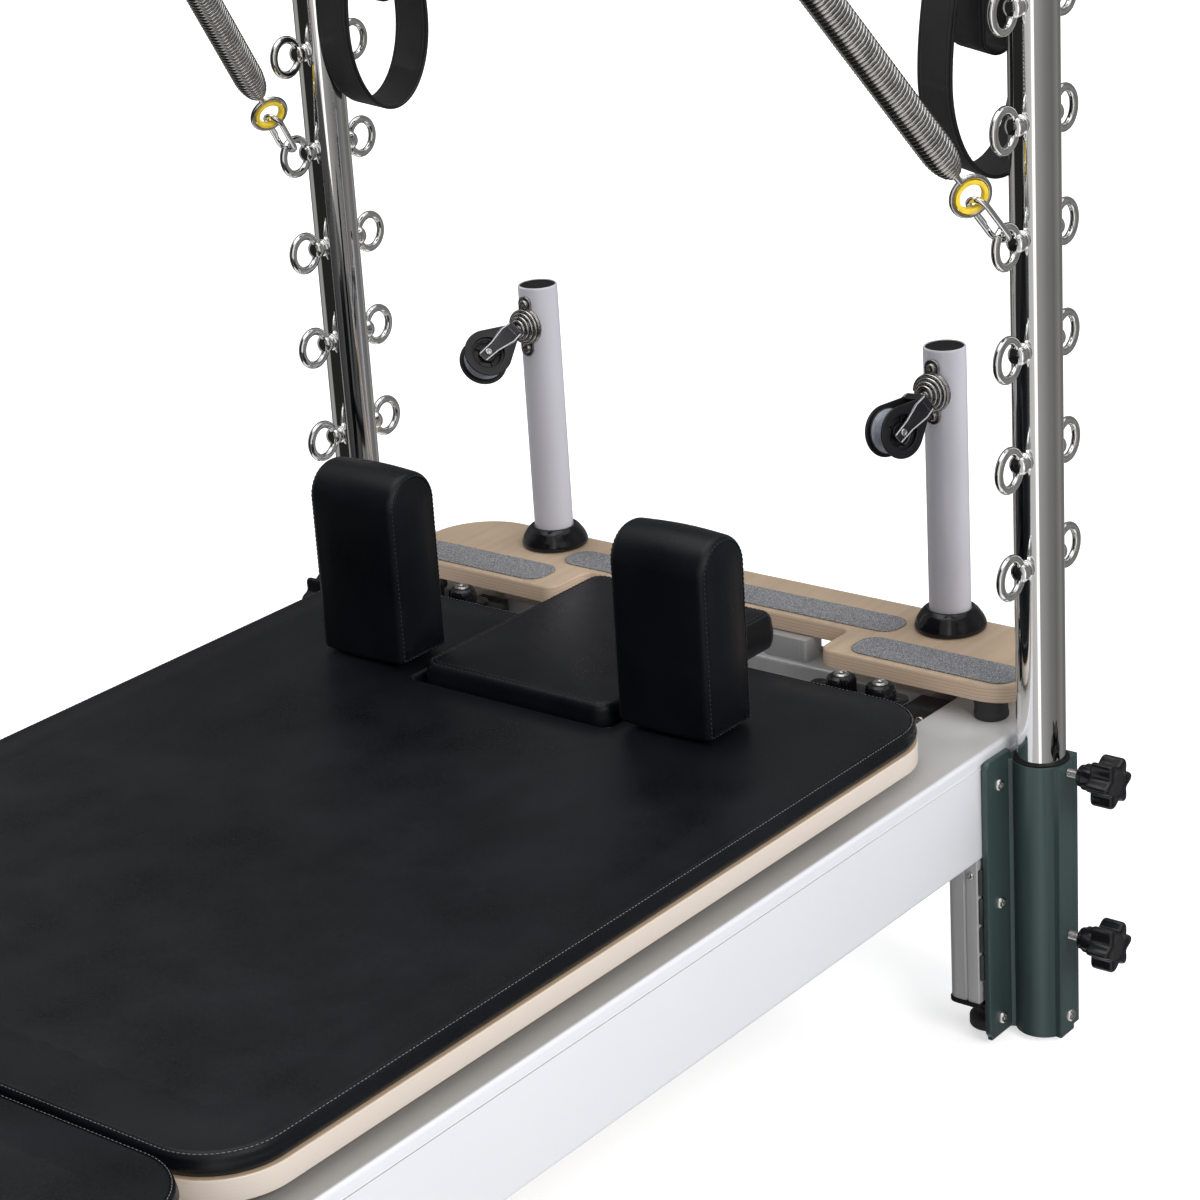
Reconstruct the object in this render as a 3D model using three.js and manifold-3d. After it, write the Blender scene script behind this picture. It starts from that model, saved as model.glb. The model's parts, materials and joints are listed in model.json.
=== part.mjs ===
// Pilates tower unit: a low reformer bed with a chrome tower clamped to its head end
// Millimetres, Z up, X toward the head end, Y toward the left side, floor at Z 0
import * as THREE from 'three';
import { mergeVertices } from 'three/addons/utils/BufferGeometryUtils.js';
import Module from 'manifold-3d';

const wasm = await Module();
wasm.setup();

// General
const GAP = 0.3;
const TURN = Math.PI * 2;
const QUARTER = Math.PI / 2;
const HALF = 0.5;
const SIDES = [-1, 1];
const SIDE_NAMES = { '-1': 'right', 1: 'left' };
const JOIN = 0.6;
const OVERRUN = 1;
const CORNER_STEPS = 3;
const FINE_CORNER_STEPS = 6;
const EDGE_STEPS = 2;
const ROUND_SIDES = 12;
const COARSE_SIDES = 6;
const CHEEK_STEPS = 4;

// Bed frame
const BEAM_TOP = 265;
const BEAM_HEIGHT = 94;
const BEAM_OUTER = 338;
const BEAM_INNER = 258;
const BEAM_WALL = 3.5;
const BEAM_EDGE = 4;
const BEAM_HEAD = 78;
const BEAM_FOOT = -2230;
const BEAM_BOTTOM = BEAM_TOP - BEAM_HEIGHT;
const GROOVE_DROP = 11;
const GROOVE_DEPTH = 1.5;
const LEDGE_TOP = 214;
const LEDGE_THICK = 6;
const LEDGE_INNER = 236;
const CROSS_DEPTH = 38;
const CROSS_TOP = 262;
const CROSS_BOTTOM = 182;
const END_PLATE = 4;
const PEDESTAL = { inner: 60, outer: 104, inset: 6 };

// Legs, left and right at both ends
const LEG_LENGTH = 80;
const LEG_DEPTH = 30;
const LEG_ROUND = 8;
const LEG_EDGE = 1;
const LEG_INSET = 2.3;
const LEG_HEAD_X = -54;
const LEG_FOOT_X = -2190;
const LEG_BOTTOM = 40;
const LEG_CAP = { height: 4, lip: 1.2 };
const LEG_GROOVE = { at: 12, half: 1.5, depth: 1.5 };
const FOOT = { pad: 17, padHeight: 12, neck: 9, stud: 6, sides: 8 };
const SHIM = { bottom: 60, top: 166, set: 1, reach: 30, bite: 3, cell: 26, slit: 9 };

// Head platform and its grip strips
const BOARD = 18;
const PLATFORM_FRONT = 5;
const PLATFORM_BACK = 128;
const PLATFORM_HALF = 339;
const PLATFORM_TOP = 299;
const PLATFORM_THICK = 16;
const NOTCH_FRONT = 55;
const NOTCH_HALF = 145;
const NOTCH_ROUND = 10;
const EAR_ROUND = 38;
const EAR_FRONT_ROUND = 12;
const EAR_BACK_ROUND = 60;
const EDGE_ROUND = 1.5;
const GRIP_THICK = 1;
const GRIP_ROUND = 16;
const EAR_GRIP = { front: 11, back: 50, inner: 168, outer: 326 };
const MIDDLE_GRIP = { front: 61, back: 97, half: 182 };
const SPACER = { x: 22, y: 305, radius: 14.5 };
const BUMPER = { reach: 26, inner: 226, bottom: 238, top: 262, bolt: 5, boltReach: 4 };

// Pulley posts
const POST_X = 101;
const POST_Y = 217;
const POST_RADIUS = 18;
const POST_WALL = 2;
const POST_TOP = 550;
const CAP = { lip: 3, plug: 14, play: 0.4, crown: 1 };
const COLLAR = { radius: 31, height: 19, lip: 5, ease: 1 };
const EYE_Z = 514.5;
const EYE_PLATE = { half: 7, reach: 28, thick: 3, screw: 20.5, screwRadius: 4.5, screwHead: 2.5 };
const EYE_HUB = { radius: 4, reach: 11.5 };
const CONE = { wide: 16, narrow: 6.8, wire: 1.1, curls: 3, start: 1.5, pitch: 2.4 };
const CURL_STEPS = 8;
const WIRE_SIDES = 5;
const NEXT_CURL_STEPS = 6;

// Pulley blocks on the eye plates, each drooped, turned and swivelled as it stands
const DROOP_ANGLES = { '-1': 0.55, 1: 0.42 };
const YAW_ANGLE = 0.2;
const SWIVEL_ANGLES = { '-1': 0.3, 1: 0.8 };
const BLOCK = { reach: 40, cheek: 22, cheekThick: 3, clear: 0.8, neck: 8, neckHalf: 7.5, pin: 3.2 };
const BLOCK_STEM = 3.4;
const WINDOW = { inner: 7.5, outer: 16.5, gap: 5, steps: 3 };
const SHEAVE = { half: 8.5, rim: 19.5, groove: 16, lip: 2.5, bore: 3.6 };
const RIVET = { radius: 4.5, height: 1.5 };

// Tower: one bent tube held in two sleeves
const TUBE_RADIUS = 20;
const TUBE_SIDES = 20;
const POST_SIDES = 16;
const TOWER_FOOT = 8;
const TOWER_TOP = 1890;
const TOWER_BEND = 80;
const BEND_STEPS = 6;
const BAR_BEND_STEPS = 5;
const EYEBOLT_RISE = 154;
const EYEBOLT_FIRST = BEAM_TOP + EYEBOLT_RISE;
const EYEBOLT_PITCH = 88.5;
const EYEBOLT_COUNT = 6;
const EYEBOLT = { centre: 43, ring: 15.5, wire: 3, boss: 6.5 };
const RING_STEPS = 10;
const RING_SIDES = 4;
const STRAP_BOLT_Z = 1150;
const STRAP_BOLT_CENTRE = 50;

// Sleeve clamps and star knobs
const CLAMP_OUTER = 23.5;
const CLAMP_BOTTOM = 5;
const CLAMP_TOP = 250;
const FLANGE = { reach: 50, end: 8, thick: 5.4, bottom: 7, top: 257, round: 7 };
const CLAMP_SEAT = 2.5;
const TOWER_HALF = BEAM_OUTER + GAP + GAP + FLANGE.thick + CLAMP_OUTER - CLAMP_SEAT;
const BOSS = { back: -14, front: 7.5, out: 24.6 };
const RIB = { back: 11, front: 22.5, out: 20.6, root: 6 };
const FLANGE_BOLT_X = -32;
const FLANGE_BOLT_SHARES = [0.904, 0.48, 0.056];
const FLANGE_BOLTS = FLANGE_BOLT_SHARES.map((share) => FLANGE.bottom + (FLANGE.top - FLANGE.bottom) * share);
const BUTTON = { radius: 5.5, height: 3.5, sides: 6 };
const LOCK_SCREW_Z = FLANGE_BOLTS[FLANGE_BOLTS.length - 1];
const KNOB_SHARES = [0.967, 0.371];
const KNOB_HEIGHTS = KNOB_SHARES.map((share) => CLAMP_BOTTOM + (CLAMP_TOP - CLAMP_BOTTOM) * share);
const KNOB_NAMES = ['upper', 'lower'];
const KNOB = { stem: 3.5, stemPlay: 0.5, hub: 11, hubStart: 36, starStart: 51, end: 72 };
const STAR = { mean: 18, swing: 3.2, lobes: 6, points: 24 };

// Push-through bar on the top of the tower
const BAR_RADIUS = 14;
const BAR_HALF = 262;
const BAR_LENGTH = 880;
const LEAN_ANGLE = 0.6126;
const BAR_BEND = 60;
const BAR_COLLAR = { radius: 29, half: 17, play: 0.6 };
const BAR_EYE = { fromEnd: 74, ring: 8, wire: 2.6, out: 21 };

// Tower springs, their bushes and snap hooks
const SPRING_BOLT = 3;
const SPRING_RADIUS = 11.6;
const SPRING_WIRE = 1.9;
const SPRING_CURLS = 21;
const SPRING_TAPER_CURLS = 2;
const SPRING_TAIL = 8;
const SPRING_EYE = 15.8;
const SPRING_EYE_STEPS = 11;
const SPRING_EYE_OPEN_ANGLE = 0.5;
const SPRING_TOP_EYE = 9;
const SPRING_TWIST_ANGLE = -0.55;
const BUSH = { outer: 13.5, inner: 9, half: 3 };
const HOOK = { length: 46, half: 8.2, wire: 2.5, play: 2.2, steps: 7, sides: 6 };
const LEAST_GAP = 0.4;

// Webbing loops hanging inside the tower
const STRAP = { half: 25, thick: 4, x: 14, aside: 4, bottom: 723, belly: 43, bellyZ: 800, neck: 1000 };
const CUFF = { bottom: 818, half: 14, round: 13, top: 990, ease: 1 };
const HANGER = { half: 7, outer: 8, play: 0.8, rise: 3, round: 1 };
const STRAP_STEPS = 7;

// Carriage and what rides on it
const RIDE_HEIGHT = 7;
const RIDE_BOTTOM = BEAM_TOP + RIDE_HEIGHT;
const PAD_HALF = 318.4;
const CARRIAGE_HEAD = -69;
const CARRIAGE_FOOT = -891;
const PAD_ROUND = 58;
const PAD_BOTTOM = RIDE_BOTTOM + BOARD;
const PAD_THICK = 21;
const PAD_TOP = PAD_BOTTOM + PAD_THICK;
const PAD_CROWN = 5;
const PAD_DRAW = 4;
const TAB = { head: -30, inset: 58.4, width: 92, round: 8 };
const TAB_OUTER = PAD_HALF - TAB.inset;
const TAB_INNER = TAB_OUTER - TAB.width;
const HEADREST = { foot: -228, head: 16, half: 100, top: 326, round: 16, play: 1.5 };
const SHOULDER = { foot: -232, head: -171, inner: 107, outer: 212, top: 478, crown: 4, round: 5, flat: 1 };
const CLEAT = { x: -48, aside: 10, half: 19, plateHalf: 40, plateDepth: 16, plate: 4 };
const CAM = { radius: 12.5, height: 17, crown: 3, head: 5, headHeight: 1.4 };
const TRUCK = { inner: 196, outer: 214, head: -90, foot: -870, bottom: 224, tie: 262, tieWidth: 60 };
const AXLE = { inset: 80, radius: 6, play: 0.6 };
const AXLE_XS = [TRUCK.head - AXLE.inset, TRUCK.foot + AXLE.inset];
const WHEEL = { radius: 22, inner: 239, outer: 254 };
const MAT_HEAD = -892.4;
const MAT_FOOT = -1480;
const GLIDER = { inset: 18.4, width: 32 };
const GLIDER_OUTER = PAD_HALF - GLIDER.inset;
const GLIDER_INNER = GLIDER_OUTER - GLIDER.width;

// Foot end
const FOOT_DECK = { head: -1920, foot: -2228, round: 30 };
const FOOTBAR = { z: 240, reach: 430, radius: 15, play: 4, bend: 70, hub: 22, ahead: 36.7 };
const FOOTBAR_SLEEVE = { side: 107, radius: 19 };
const FOOTBAR_HALF = BEAM_OUTER + FOOTBAR.play + FOOTBAR.radius;
const FOOTBAR_END = BEAM_FOOT - END_PLATE - GAP - FOOTBAR.ahead - FOOTBAR_SLEEVE.radius;
const FOOTBAR_PIVOT = FOOTBAR_END + FOOTBAR.reach;

// The frame is centred on the whole machine
const FOOT_END = FOOTBAR_END - FOOTBAR_SLEEVE.radius;
const HEAD_END = POST_X + COLLAR.radius;
const CENTRE_X = (HEAD_END + FOOT_END) * HALF;

const AXIS_X = new THREE.Vector3(1, 0, 0);
const AXIS_Y = new THREE.Vector3(0, 1, 0);
const AXIS_Z = new THREE.Vector3(0, 0, 1);
const point = (x, y, z) => new THREE.Vector3(x, y, z);

// From three.js geometry to a manifold and back
function solid(geometry) {
  const bare = geometry.clone();
  bare.deleteAttribute('normal');
  bare.deleteAttribute('uv');
  const merged = mergeVertices(bare);
  const mesh = new wasm.Mesh({
    numProp: 3,
    vertProperties: Float32Array.from(merged.attributes.position.array),
    triVerts: Uint32Array.from(merged.index.array),
  });
  return new wasm.Manifold(mesh);
}

function geometryOf(body) {
  const mesh = body.getMesh();
  const geometry = new THREE.BufferGeometry();
  const positions = Float32Array.from(mesh.vertProperties);
  geometry.setAttribute('position', new THREE.BufferAttribute(positions, 3));
  geometry.setIndex(new THREE.BufferAttribute(Uint32Array.from(mesh.triVerts), 1));
  geometry.computeVertexNormals();
  return geometry;
}

const join = (bodies) => bodies.reduce((whole, body) => whole.add(body));
const cut = (body, tools) => tools.reduce((left, tool) => left.subtract(tool), body);

// Boxes, rods, rings and turned shapes
function block(x, y, z) {
  const size = [x, y, z].map(([a, b]) => Math.abs(b - a));
  const middle = [x, y, z].map(([a, b]) => (a + b) * HALF);
  const geometry = new THREE.BoxGeometry(...size);
  geometry.translate(...middle);
  return solid(geometry);
}

function turn(geometry, direction, at) {
  geometry.applyQuaternion(new THREE.Quaternion().setFromUnitVectors(AXIS_Z, direction));
  geometry.translate(at.x, at.y, at.z);
  return geometry;
}

// Profile points are [radius, height along the direction]
function turned(profile, direction, at, sides = ROUND_SIDES) {
  const points = profile.map(([radius, height]) => new THREE.Vector2(radius, height));
  const geometry = new THREE.LatheGeometry(points, sides);
  geometry.rotateX(QUARTER);
  return solid(turn(geometry, direction, at));
}

function rod(from, to, radius, sides = ROUND_SIDES) {
  const direction = to.clone().sub(from);
  const length = direction.length();
  const profile = [[0, 0], [radius, 0], [radius, length], [0, length]];
  return turned(profile, direction.normalize(), from, sides);
}

function ring(centre, normal, mean, wire, steps = RING_STEPS, sides = RING_SIDES) {
  const geometry = new THREE.TorusGeometry(mean, wire, sides, steps);
  return solid(turn(geometry, normal, centre));
}

// Outline with rounded corners from [x, y, radius] corners
function rounded(corners, steps = CORNER_STEPS) {
  const outline = [];
  corners.forEach(([x, y, radius], i) => {
    const here = new THREE.Vector2(x, y);
    const [px, py] = corners[(i + corners.length - 1) % corners.length];
    const [nx, ny] = corners[(i + 1) % corners.length];
    if (!radius) {
      outline.push(here);
      return;
    }
    const back = new THREE.Vector2(px, py).sub(here).normalize();
    const on = new THREE.Vector2(nx, ny).sub(here).normalize();
    const half = Math.acos(back.dot(on)) * HALF;
    const reach = radius / Math.tan(half);
    const centre = here.clone().addScaledVector(back.clone().add(on).normalize(), radius / Math.sin(half));
    const first = here.clone().addScaledVector(back, reach).sub(centre);
    const turnAngle = (Math.PI - half - half) * -Math.sign(back.cross(on));
    for (let k = 0; k <= steps; k += 1) {
      const spoke = first.clone().rotateAround(new THREE.Vector2(), turnAngle * (k / steps));
      outline.push(centre.clone().add(spoke));
    }
  });
  return outline;
}

const BASES = {
  x: [AXIS_Y, AXIS_Z, AXIS_X],
  y: [AXIS_X, AXIS_Z, AXIS_Y.clone().negate()],
  z: [AXIS_X, AXIS_Y, AXIS_Z],
};

// An outline drawn across an axis and pushed along it between two stations
function prism(axis, outline, from, to, holes = [], bevel = 0) {
  const shape = new THREE.Shape(outline.map((p) => new THREE.Vector2(p.x, p.y)));
  const low = Math.min(from, to);
  const high = Math.max(from, to);
  const geometry = new THREE.ExtrudeGeometry(shape, {
    depth: high - low - bevel - bevel,
    bevelEnabled: bevel > 0,
    bevelThickness: bevel,
    bevelSize: bevel,
    bevelOffset: -bevel,
    bevelSegments: 1,
    curveSegments: 1,
  });
  geometry.translate(0, 0, bevel);
  const frame = new THREE.Matrix4().makeBasis(...BASES[axis]);
  geometry.applyMatrix4(frame);
  const start = axis === 'y' ? point(0, high, 0) : BASES[axis][2].clone().multiplyScalar(low);
  geometry.translate(start.x, start.y, start.z);
  return cut(solid(geometry), holes.map((hole) => prism(axis, hole, low - OVERRUN, high + OVERRUN)));
}

// A path through given points, so that straight runs take one step
class Stations extends THREE.Curve {
  constructor(points) {
    super();
    this.points = points;
  }

  getPoint(t, target = new THREE.Vector3()) {
    const place = t * (this.points.length - 1);
    const index = Math.min(Math.floor(place + Number.EPSILON * this.points.length), this.points.length - 1);
    const next = Math.min(index + 1, this.points.length - 1);
    return target.lerpVectors(this.points[index], this.points[next], place - index);
  }

  getPointAt(t, target) {
    return this.getPoint(t, target);
  }

  getTangentAt(t) {
    const last = this.points.length - 1;
    const index = Math.round(t * last);
    const before = this.points[Math.max(index - 1, 0)];
    const after = this.points[Math.min(index + 1, last)];
    return after.clone().sub(before).normalize();
  }
}

function sweep(points, radius, sides) {
  const outline = [];
  for (let k = 0; k < sides; k += 1) {
    const angle = (k / sides) * TURN;
    outline.push(new THREE.Vector2(Math.cos(angle) * radius, Math.sin(angle) * radius));
  }
  const geometry = new THREE.ExtrudeGeometry(new THREE.Shape(outline), {
    steps: points.length - 1,
    bevelEnabled: false,
    extrudePath: new Stations(points),
    curveSegments: 1,
  });
  return solid(geometry);
}

// Path of straight runs with bends from [point, radius] stations
function bentPath(stations, steps = BEND_STEPS) {
  const path = [];
  stations.forEach(([here, radius], i) => {
    if (!radius) {
      path.push(here);
      return;
    }
    const back = stations[i - 1][0].clone().sub(here).normalize();
    const on = stations[i + 1][0].clone().sub(here).normalize();
    const half = back.angleTo(on) * HALF;
    const centre = here.clone().addScaledVector(back.clone().add(on).normalize(), radius / Math.sin(half));
    const first = here.clone().addScaledVector(back, radius / Math.tan(half)).sub(centre);
    const axis = back.clone().cross(on).normalize().negate();
    const sweepAngle = Math.PI - half - half;
    for (let k = 0; k <= steps; k += 1) {
      path.push(first.clone().applyAxisAngle(axis, sweepAngle * (k / steps)).add(centre));
    }
  });
  return path;
}

// Least distance between the surfaces of a wire and itself, one curl or more apart
function leastGap(path, wire, skip) {
  let least = Infinity;
  for (let i = 0; i < path.length; i += 1) {
    for (let j = i + skip; j < path.length; j += 1) {
      least = Math.min(least, path[i].distanceTo(path[j]));
    }
  }
  return least - wire - wire;
}

// Materials are plain colours here
const COLOURS = {
  white: ['#e9eaec', 0.1, 0.4],
  steel: ['#b9bcbf', 0.9, 0.25],
  chrome: ['#c9ccd0', 1, 0.1],
  green: ['#24403f', 0.6, 0.4],
  black: ['#17181a', 0, 0.5],
  vinyl: ['#0e0f11', 0, 0.55],
  ply: ['#cdb491', 0, 0.6],
  grip: ['#8a8b90', 0, 0.9],
  grey: ['#8f9294', 0.5, 0.5],
  sheave: ['#a9adb3', 0, 0.5],
  yellow: ['#e6b800', 0, 0.5],
  webbing: ['#101114', 0, 0.9],
};
const nodes = [];

function node(name, body, colour) {
  const [color, metalness, roughness] = COLOURS[colour];
  const material = new THREE.MeshStandardMaterial({ color, metalness, roughness });
  const mesh = new THREE.Mesh(geometryOf(body), material);
  mesh.name = name;
  nodes.push(mesh);
}

// Side beams: hollow profile with a groove outside and a wheel ledge inside
function beam(s) {
  const top = BEAM_TOP;
  const groove = top - GROOVE_DROP;
  const outline = rounded([
    [BEAM_INNER, BEAM_BOTTOM, 0],
    [BEAM_OUTER, BEAM_BOTTOM, BEAM_EDGE],
    [BEAM_OUTER, groove - GROOVE_DEPTH, 0],
    [BEAM_OUTER - GROOVE_DEPTH, groove, 0],
    [BEAM_OUTER, groove + GROOVE_DEPTH, 0],
    [BEAM_OUTER, top, BEAM_EDGE],
    [BEAM_INNER, top, BEAM_EDGE],
    [BEAM_INNER, LEDGE_TOP, 0],
    [LEDGE_INNER, LEDGE_TOP, 0],
    [LEDGE_INNER, LEDGE_TOP - LEDGE_THICK, 0],
    [BEAM_INNER, LEDGE_TOP - LEDGE_THICK, 0],
  ], EDGE_STEPS);
  const hole = [
    [BEAM_INNER + BEAM_WALL, BEAM_BOTTOM + BEAM_WALL],
    [BEAM_OUTER - BEAM_WALL, BEAM_BOTTOM + BEAM_WALL],
    [BEAM_OUTER - BEAM_WALL, top - BEAM_WALL],
    [BEAM_INNER + BEAM_WALL, top - BEAM_WALL],
  ];
  const across = (p) => new THREE.Vector2(p.x * s, p.y);
  const inside = hole.map(([y, z]) => new THREE.Vector2(y * s, z));
  return prism('x', outline.map(across), BEAM_FOOT, BEAM_HEAD, [inside]);
}

// Cross beams close the beam ends with a full-width plate
function crossbeam(end, inward) {
  const face = end + inward * (CROSS_DEPTH + GAP);
  const inner = LEDGE_INNER - GAP;
  const plate = end - inward * (GAP + END_PLATE);
  const box = block([face, plate], [-inner, inner], [CROSS_BOTTOM, CROSS_TOP]);
  const cover = block([end - inward * GAP, plate], [-BEAM_OUTER, BEAM_OUTER], [BEAM_BOTTOM, BEAM_TOP]);
  return box.add(cover);
}

function pedestals(x, top) {
  return SIDES.map((s) => block(
    [x - CROSS_DEPTH + PEDESTAL.inset, x - PEDESTAL.inset],
    [s * PEDESTAL.inner, s * PEDESTAL.outer],
    [CROSS_TOP - JOIN, top - GAP],
  ));
}

// Legs with cap, stud and levelling pad
function leg(s, x) {
  const outer = BEAM_OUTER - LEG_INSET;
  const inner = outer - LEG_DEPTH;
  const grooveAt = outer - LEG_GROOVE.at;
  const far = x + LEG_LENGTH;
  const outline = rounded([
    [x, outer, LEG_EDGE],
    [x, grooveAt + LEG_GROOVE.half, 0],
    [x + LEG_GROOVE.depth, grooveAt, 0],
    [x, grooveAt - LEG_GROOVE.half, 0],
    [x, inner, LEG_ROUND],
    [far, inner, LEG_ROUND],
    [far, outer, LEG_EDGE],
  ]).map((p) => new THREE.Vector2(p.x, p.y * s));
  const post = prism('z', outline, LEG_BOTTOM, BEAM_BOTTOM - GAP);
  const lip = LEG_CAP.lip;
  const plate = rounded([
    [x - lip, outer, LEG_EDGE],
    [x - lip, inner - lip, LEG_ROUND],
    [far + lip, inner - lip, LEG_ROUND],
    [far + lip, outer, LEG_EDGE],
  ]).map((p) => new THREE.Vector2(p.x, p.y * s));
  const cap = prism('z', plate, LEG_BOTTOM - LEG_CAP.height, LEG_BOTTOM + JOIN);
  const at = point((x + far) * HALF, s * (outer + inner) * HALF, 0);
  const foot = turned([
    [0, 0],
    [FOOT.pad, 0],
    [FOOT.pad, FOOT.padHeight * HALF],
    [FOOT.neck, FOOT.padHeight],
    [FOOT.stud, FOOT.padHeight],
    [FOOT.stud, LEG_BOTTOM],
    [0, LEG_BOTTOM],
  ], AXIS_Z, at, FOOT.sides);
  return join([post, cap, foot]);
}

// Rubber strip between leg and clamp, notched along its visible edge
function shim(s) {
  const inner = BEAM_OUTER - LEG_INSET + GAP;
  const outer = BEAM_OUTER - HALF * GAP;
  const x = LEG_HEAD_X + SHIM.set;
  const strip = block([x, x + SHIM.reach], [s * inner, s * outer], [SHIM.bottom, SHIM.top]);
  const bites = [];
  for (let z = SHIM.bottom + SHIM.cell; z < SHIM.top - SHIM.slit; z += SHIM.cell + SHIM.slit) {
    bites.push(block([x - OVERRUN, x + SHIM.bite], [s * (inner - OVERRUN), s * (outer + OVERRUN)],
      [z, z + SHIM.slit]));
  }
  return cut(strip, bites);
}

// Platform with two rounded ears and a notch for the headrest
function platform() {
  const half = [
    [PLATFORM_BACK, PLATFORM_HALF, EAR_BACK_ROUND],
    [PLATFORM_FRONT, PLATFORM_HALF, EAR_FRONT_ROUND],
    [PLATFORM_FRONT, NOTCH_HALF, EAR_ROUND],
    [NOTCH_FRONT, NOTCH_HALF, NOTCH_ROUND],
  ];
  const other = half.map(([x, y, r]) => [x, -y, r]).reverse();
  const outline = rounded([...half, ...other], FINE_CORNER_STEPS);
  return prism('z', outline, PLATFORM_TOP - PLATFORM_THICK, PLATFORM_TOP, [], EDGE_ROUND);
}

function grip(x0, x1, y0, y1) {
  const outline = rounded([
    [x0, y0, GRIP_ROUND],
    [x1, y0, GRIP_ROUND],
    [x1, y1, GRIP_ROUND],
    [x0, y1, GRIP_ROUND],
  ]);
  const z = PLATFORM_TOP + GAP;
  return prism('z', outline, z, z + GRIP_THICK);
}

// Rubber stop on the head cross beam with its bolt head
function bumper(s) {
  const face = BEAM_HEAD - CROSS_DEPTH - GAP - GAP;
  const outer = BEAM_INNER - GAP - GAP;
  const body = block([face - BUMPER.reach, face], [s * BUMPER.inner, s * outer], [BUMPER.bottom, BUMPER.top]);
  const middle = (BUMPER.bottom + BUMPER.top) * HALF;
  const at = point(face - BUMPER.reach, s * (BUMPER.inner + outer) * HALF, middle);
  const tip = at.clone().addScaledVector(AXIS_X, -BUMPER.boltReach);
  return body.add(rod(at.clone().addScaledVector(AXIS_X, JOIN), tip, BUMPER.bolt, COARSE_SIDES));
}

// Post tube, its plug cap and base collar
function post(s) {
  const inner = POST_RADIUS - POST_WALL;
  const bottom = PLATFORM_TOP + GAP;
  const profile = [
    [inner, bottom],
    [POST_RADIUS, bottom],
    [POST_RADIUS, POST_TOP - CAP.lip - GAP],
    [inner, POST_TOP - CAP.lip - GAP],
    [inner, bottom],
  ];
  return turned(profile, AXIS_Z, point(POST_X, s * POST_Y, 0), POST_SIDES);
}

function postCap(s) {
  const plug = POST_RADIUS - POST_WALL - CAP.play;
  const rim = POST_TOP - CAP.lip;
  const profile = [
    [0, rim - CAP.plug],
    [plug, rim - CAP.plug],
    [plug, rim],
    [POST_RADIUS, rim],
    [POST_RADIUS, POST_TOP - CAP.crown],
    [plug, POST_TOP],
    [0, POST_TOP],
  ];
  return turned(profile, AXIS_Z, point(POST_X, s * POST_Y, 0), POST_SIDES);
}

function collar(s) {
  const inner = POST_RADIUS + GAP;
  const base = PLATFORM_TOP + GAP;
  const profile = [
    [inner, base],
    [COLLAR.radius, base],
    [COLLAR.radius, base + COLLAR.lip],
    [(COLLAR.radius + inner) * HALF + COLLAR.ease, base + COLLAR.height - COLLAR.lip * HALF],
    [inner + COLLAR.ease, base + COLLAR.height],
    [inner, base + COLLAR.height],
    [inner, base],
  ];
  return turned(profile, AXIS_Z, point(POST_X, s * POST_Y, 0), POST_SIDES);
}

// Eye plate on the post: plate, screws, hub and the cone spring round the hub
const EYE_FACE = POST_X - POST_RADIUS - GAP;

function conePath(centre) {
  const path = [];
  const steps = CONE.curls * CURL_STEPS;
  for (let k = 0; k <= steps; k += 1) {
    const angle = (k / CURL_STEPS) * TURN;
    const radius = CONE.wide + (CONE.narrow - CONE.wide) * (k / steps);
    const x = centre.x - CONE.start - CONE.pitch * (k / CURL_STEPS);
    path.push(point(x, centre.y + Math.cos(angle) * radius, centre.z + Math.sin(angle) * radius));
  }
  const tip = path[path.length - 1].clone();
  path.push(point(tip.x - CONE.wire, centre.y + EYE_HUB.radius, centre.z));
  return path;
}

function eyePlate(s) {
  const y = s * POST_Y;
  const back = EYE_FACE;
  const front = back - EYE_PLATE.thick;
  const plate = block([front, back], [y - EYE_PLATE.half, y + EYE_PLATE.half],
    [EYE_Z - EYE_PLATE.reach, EYE_Z + EYE_PLATE.reach]);
  const screws = SIDES.map((k) => {
    const z = EYE_Z + k * EYE_PLATE.screw;
    return rod(point(front + JOIN, y, z), point(front - EYE_PLATE.screwHead, y, z), EYE_PLATE.screwRadius,
      COARSE_SIDES);
  });
  const seat = CONE.wide + CONE.wire;
  const disc = rod(point(back, y, EYE_Z), point(front, y, EYE_Z), seat);
  const hub = rod(point(front + JOIN, y, EYE_Z), point(front - EYE_HUB.reach, y, EYE_Z), EYE_HUB.radius);
  const centre = point(front + CONE.wire, y, EYE_Z);
  return join([plate, disc, hub, ...screws, sweep(conePath(centre), CONE.wire, WIRE_SIDES)]);
}

// Frame of a pulley block: along runs from the eye to the axle
function blockFrame(s) {
  const droop = DROOP_ANGLES[s];
  const level = Math.cos(droop);
  const along = point(-level * Math.cos(YAW_ANGLE), level * Math.sin(YAW_ANGLE), -Math.sin(droop));
  const across = AXIS_Y.clone().addScaledVector(along, -along.y).normalize().negate();
  const up = across.clone().cross(along);
  const axle = across.clone().multiplyScalar(Math.cos(SWIVEL_ANGLES[s]));
  axle.addScaledVector(up, -Math.sin(SWIVEL_ANGLES[s])).normalize();
  const drop = BLOCK_STEM * Math.sin(droop) + GAP;
  const eye = point(EYE_FACE - EYE_PLATE.thick - EYE_HUB.reach - drop, s * POST_Y, EYE_Z);
  const centre = eye.clone().addScaledVector(along, BLOCK.reach);
  return { along, axle, eye, centre };
}

function placed(body, frame) {
  const side = frame.axle.clone().cross(frame.along);
  const matrix = new THREE.Matrix4().makeBasis(frame.along, side, frame.axle);
  matrix.setPosition(frame.centre);
  const geometry = geometryOf(body);
  geometry.applyMatrix4(matrix);
  return solid(geometry);
}

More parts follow.
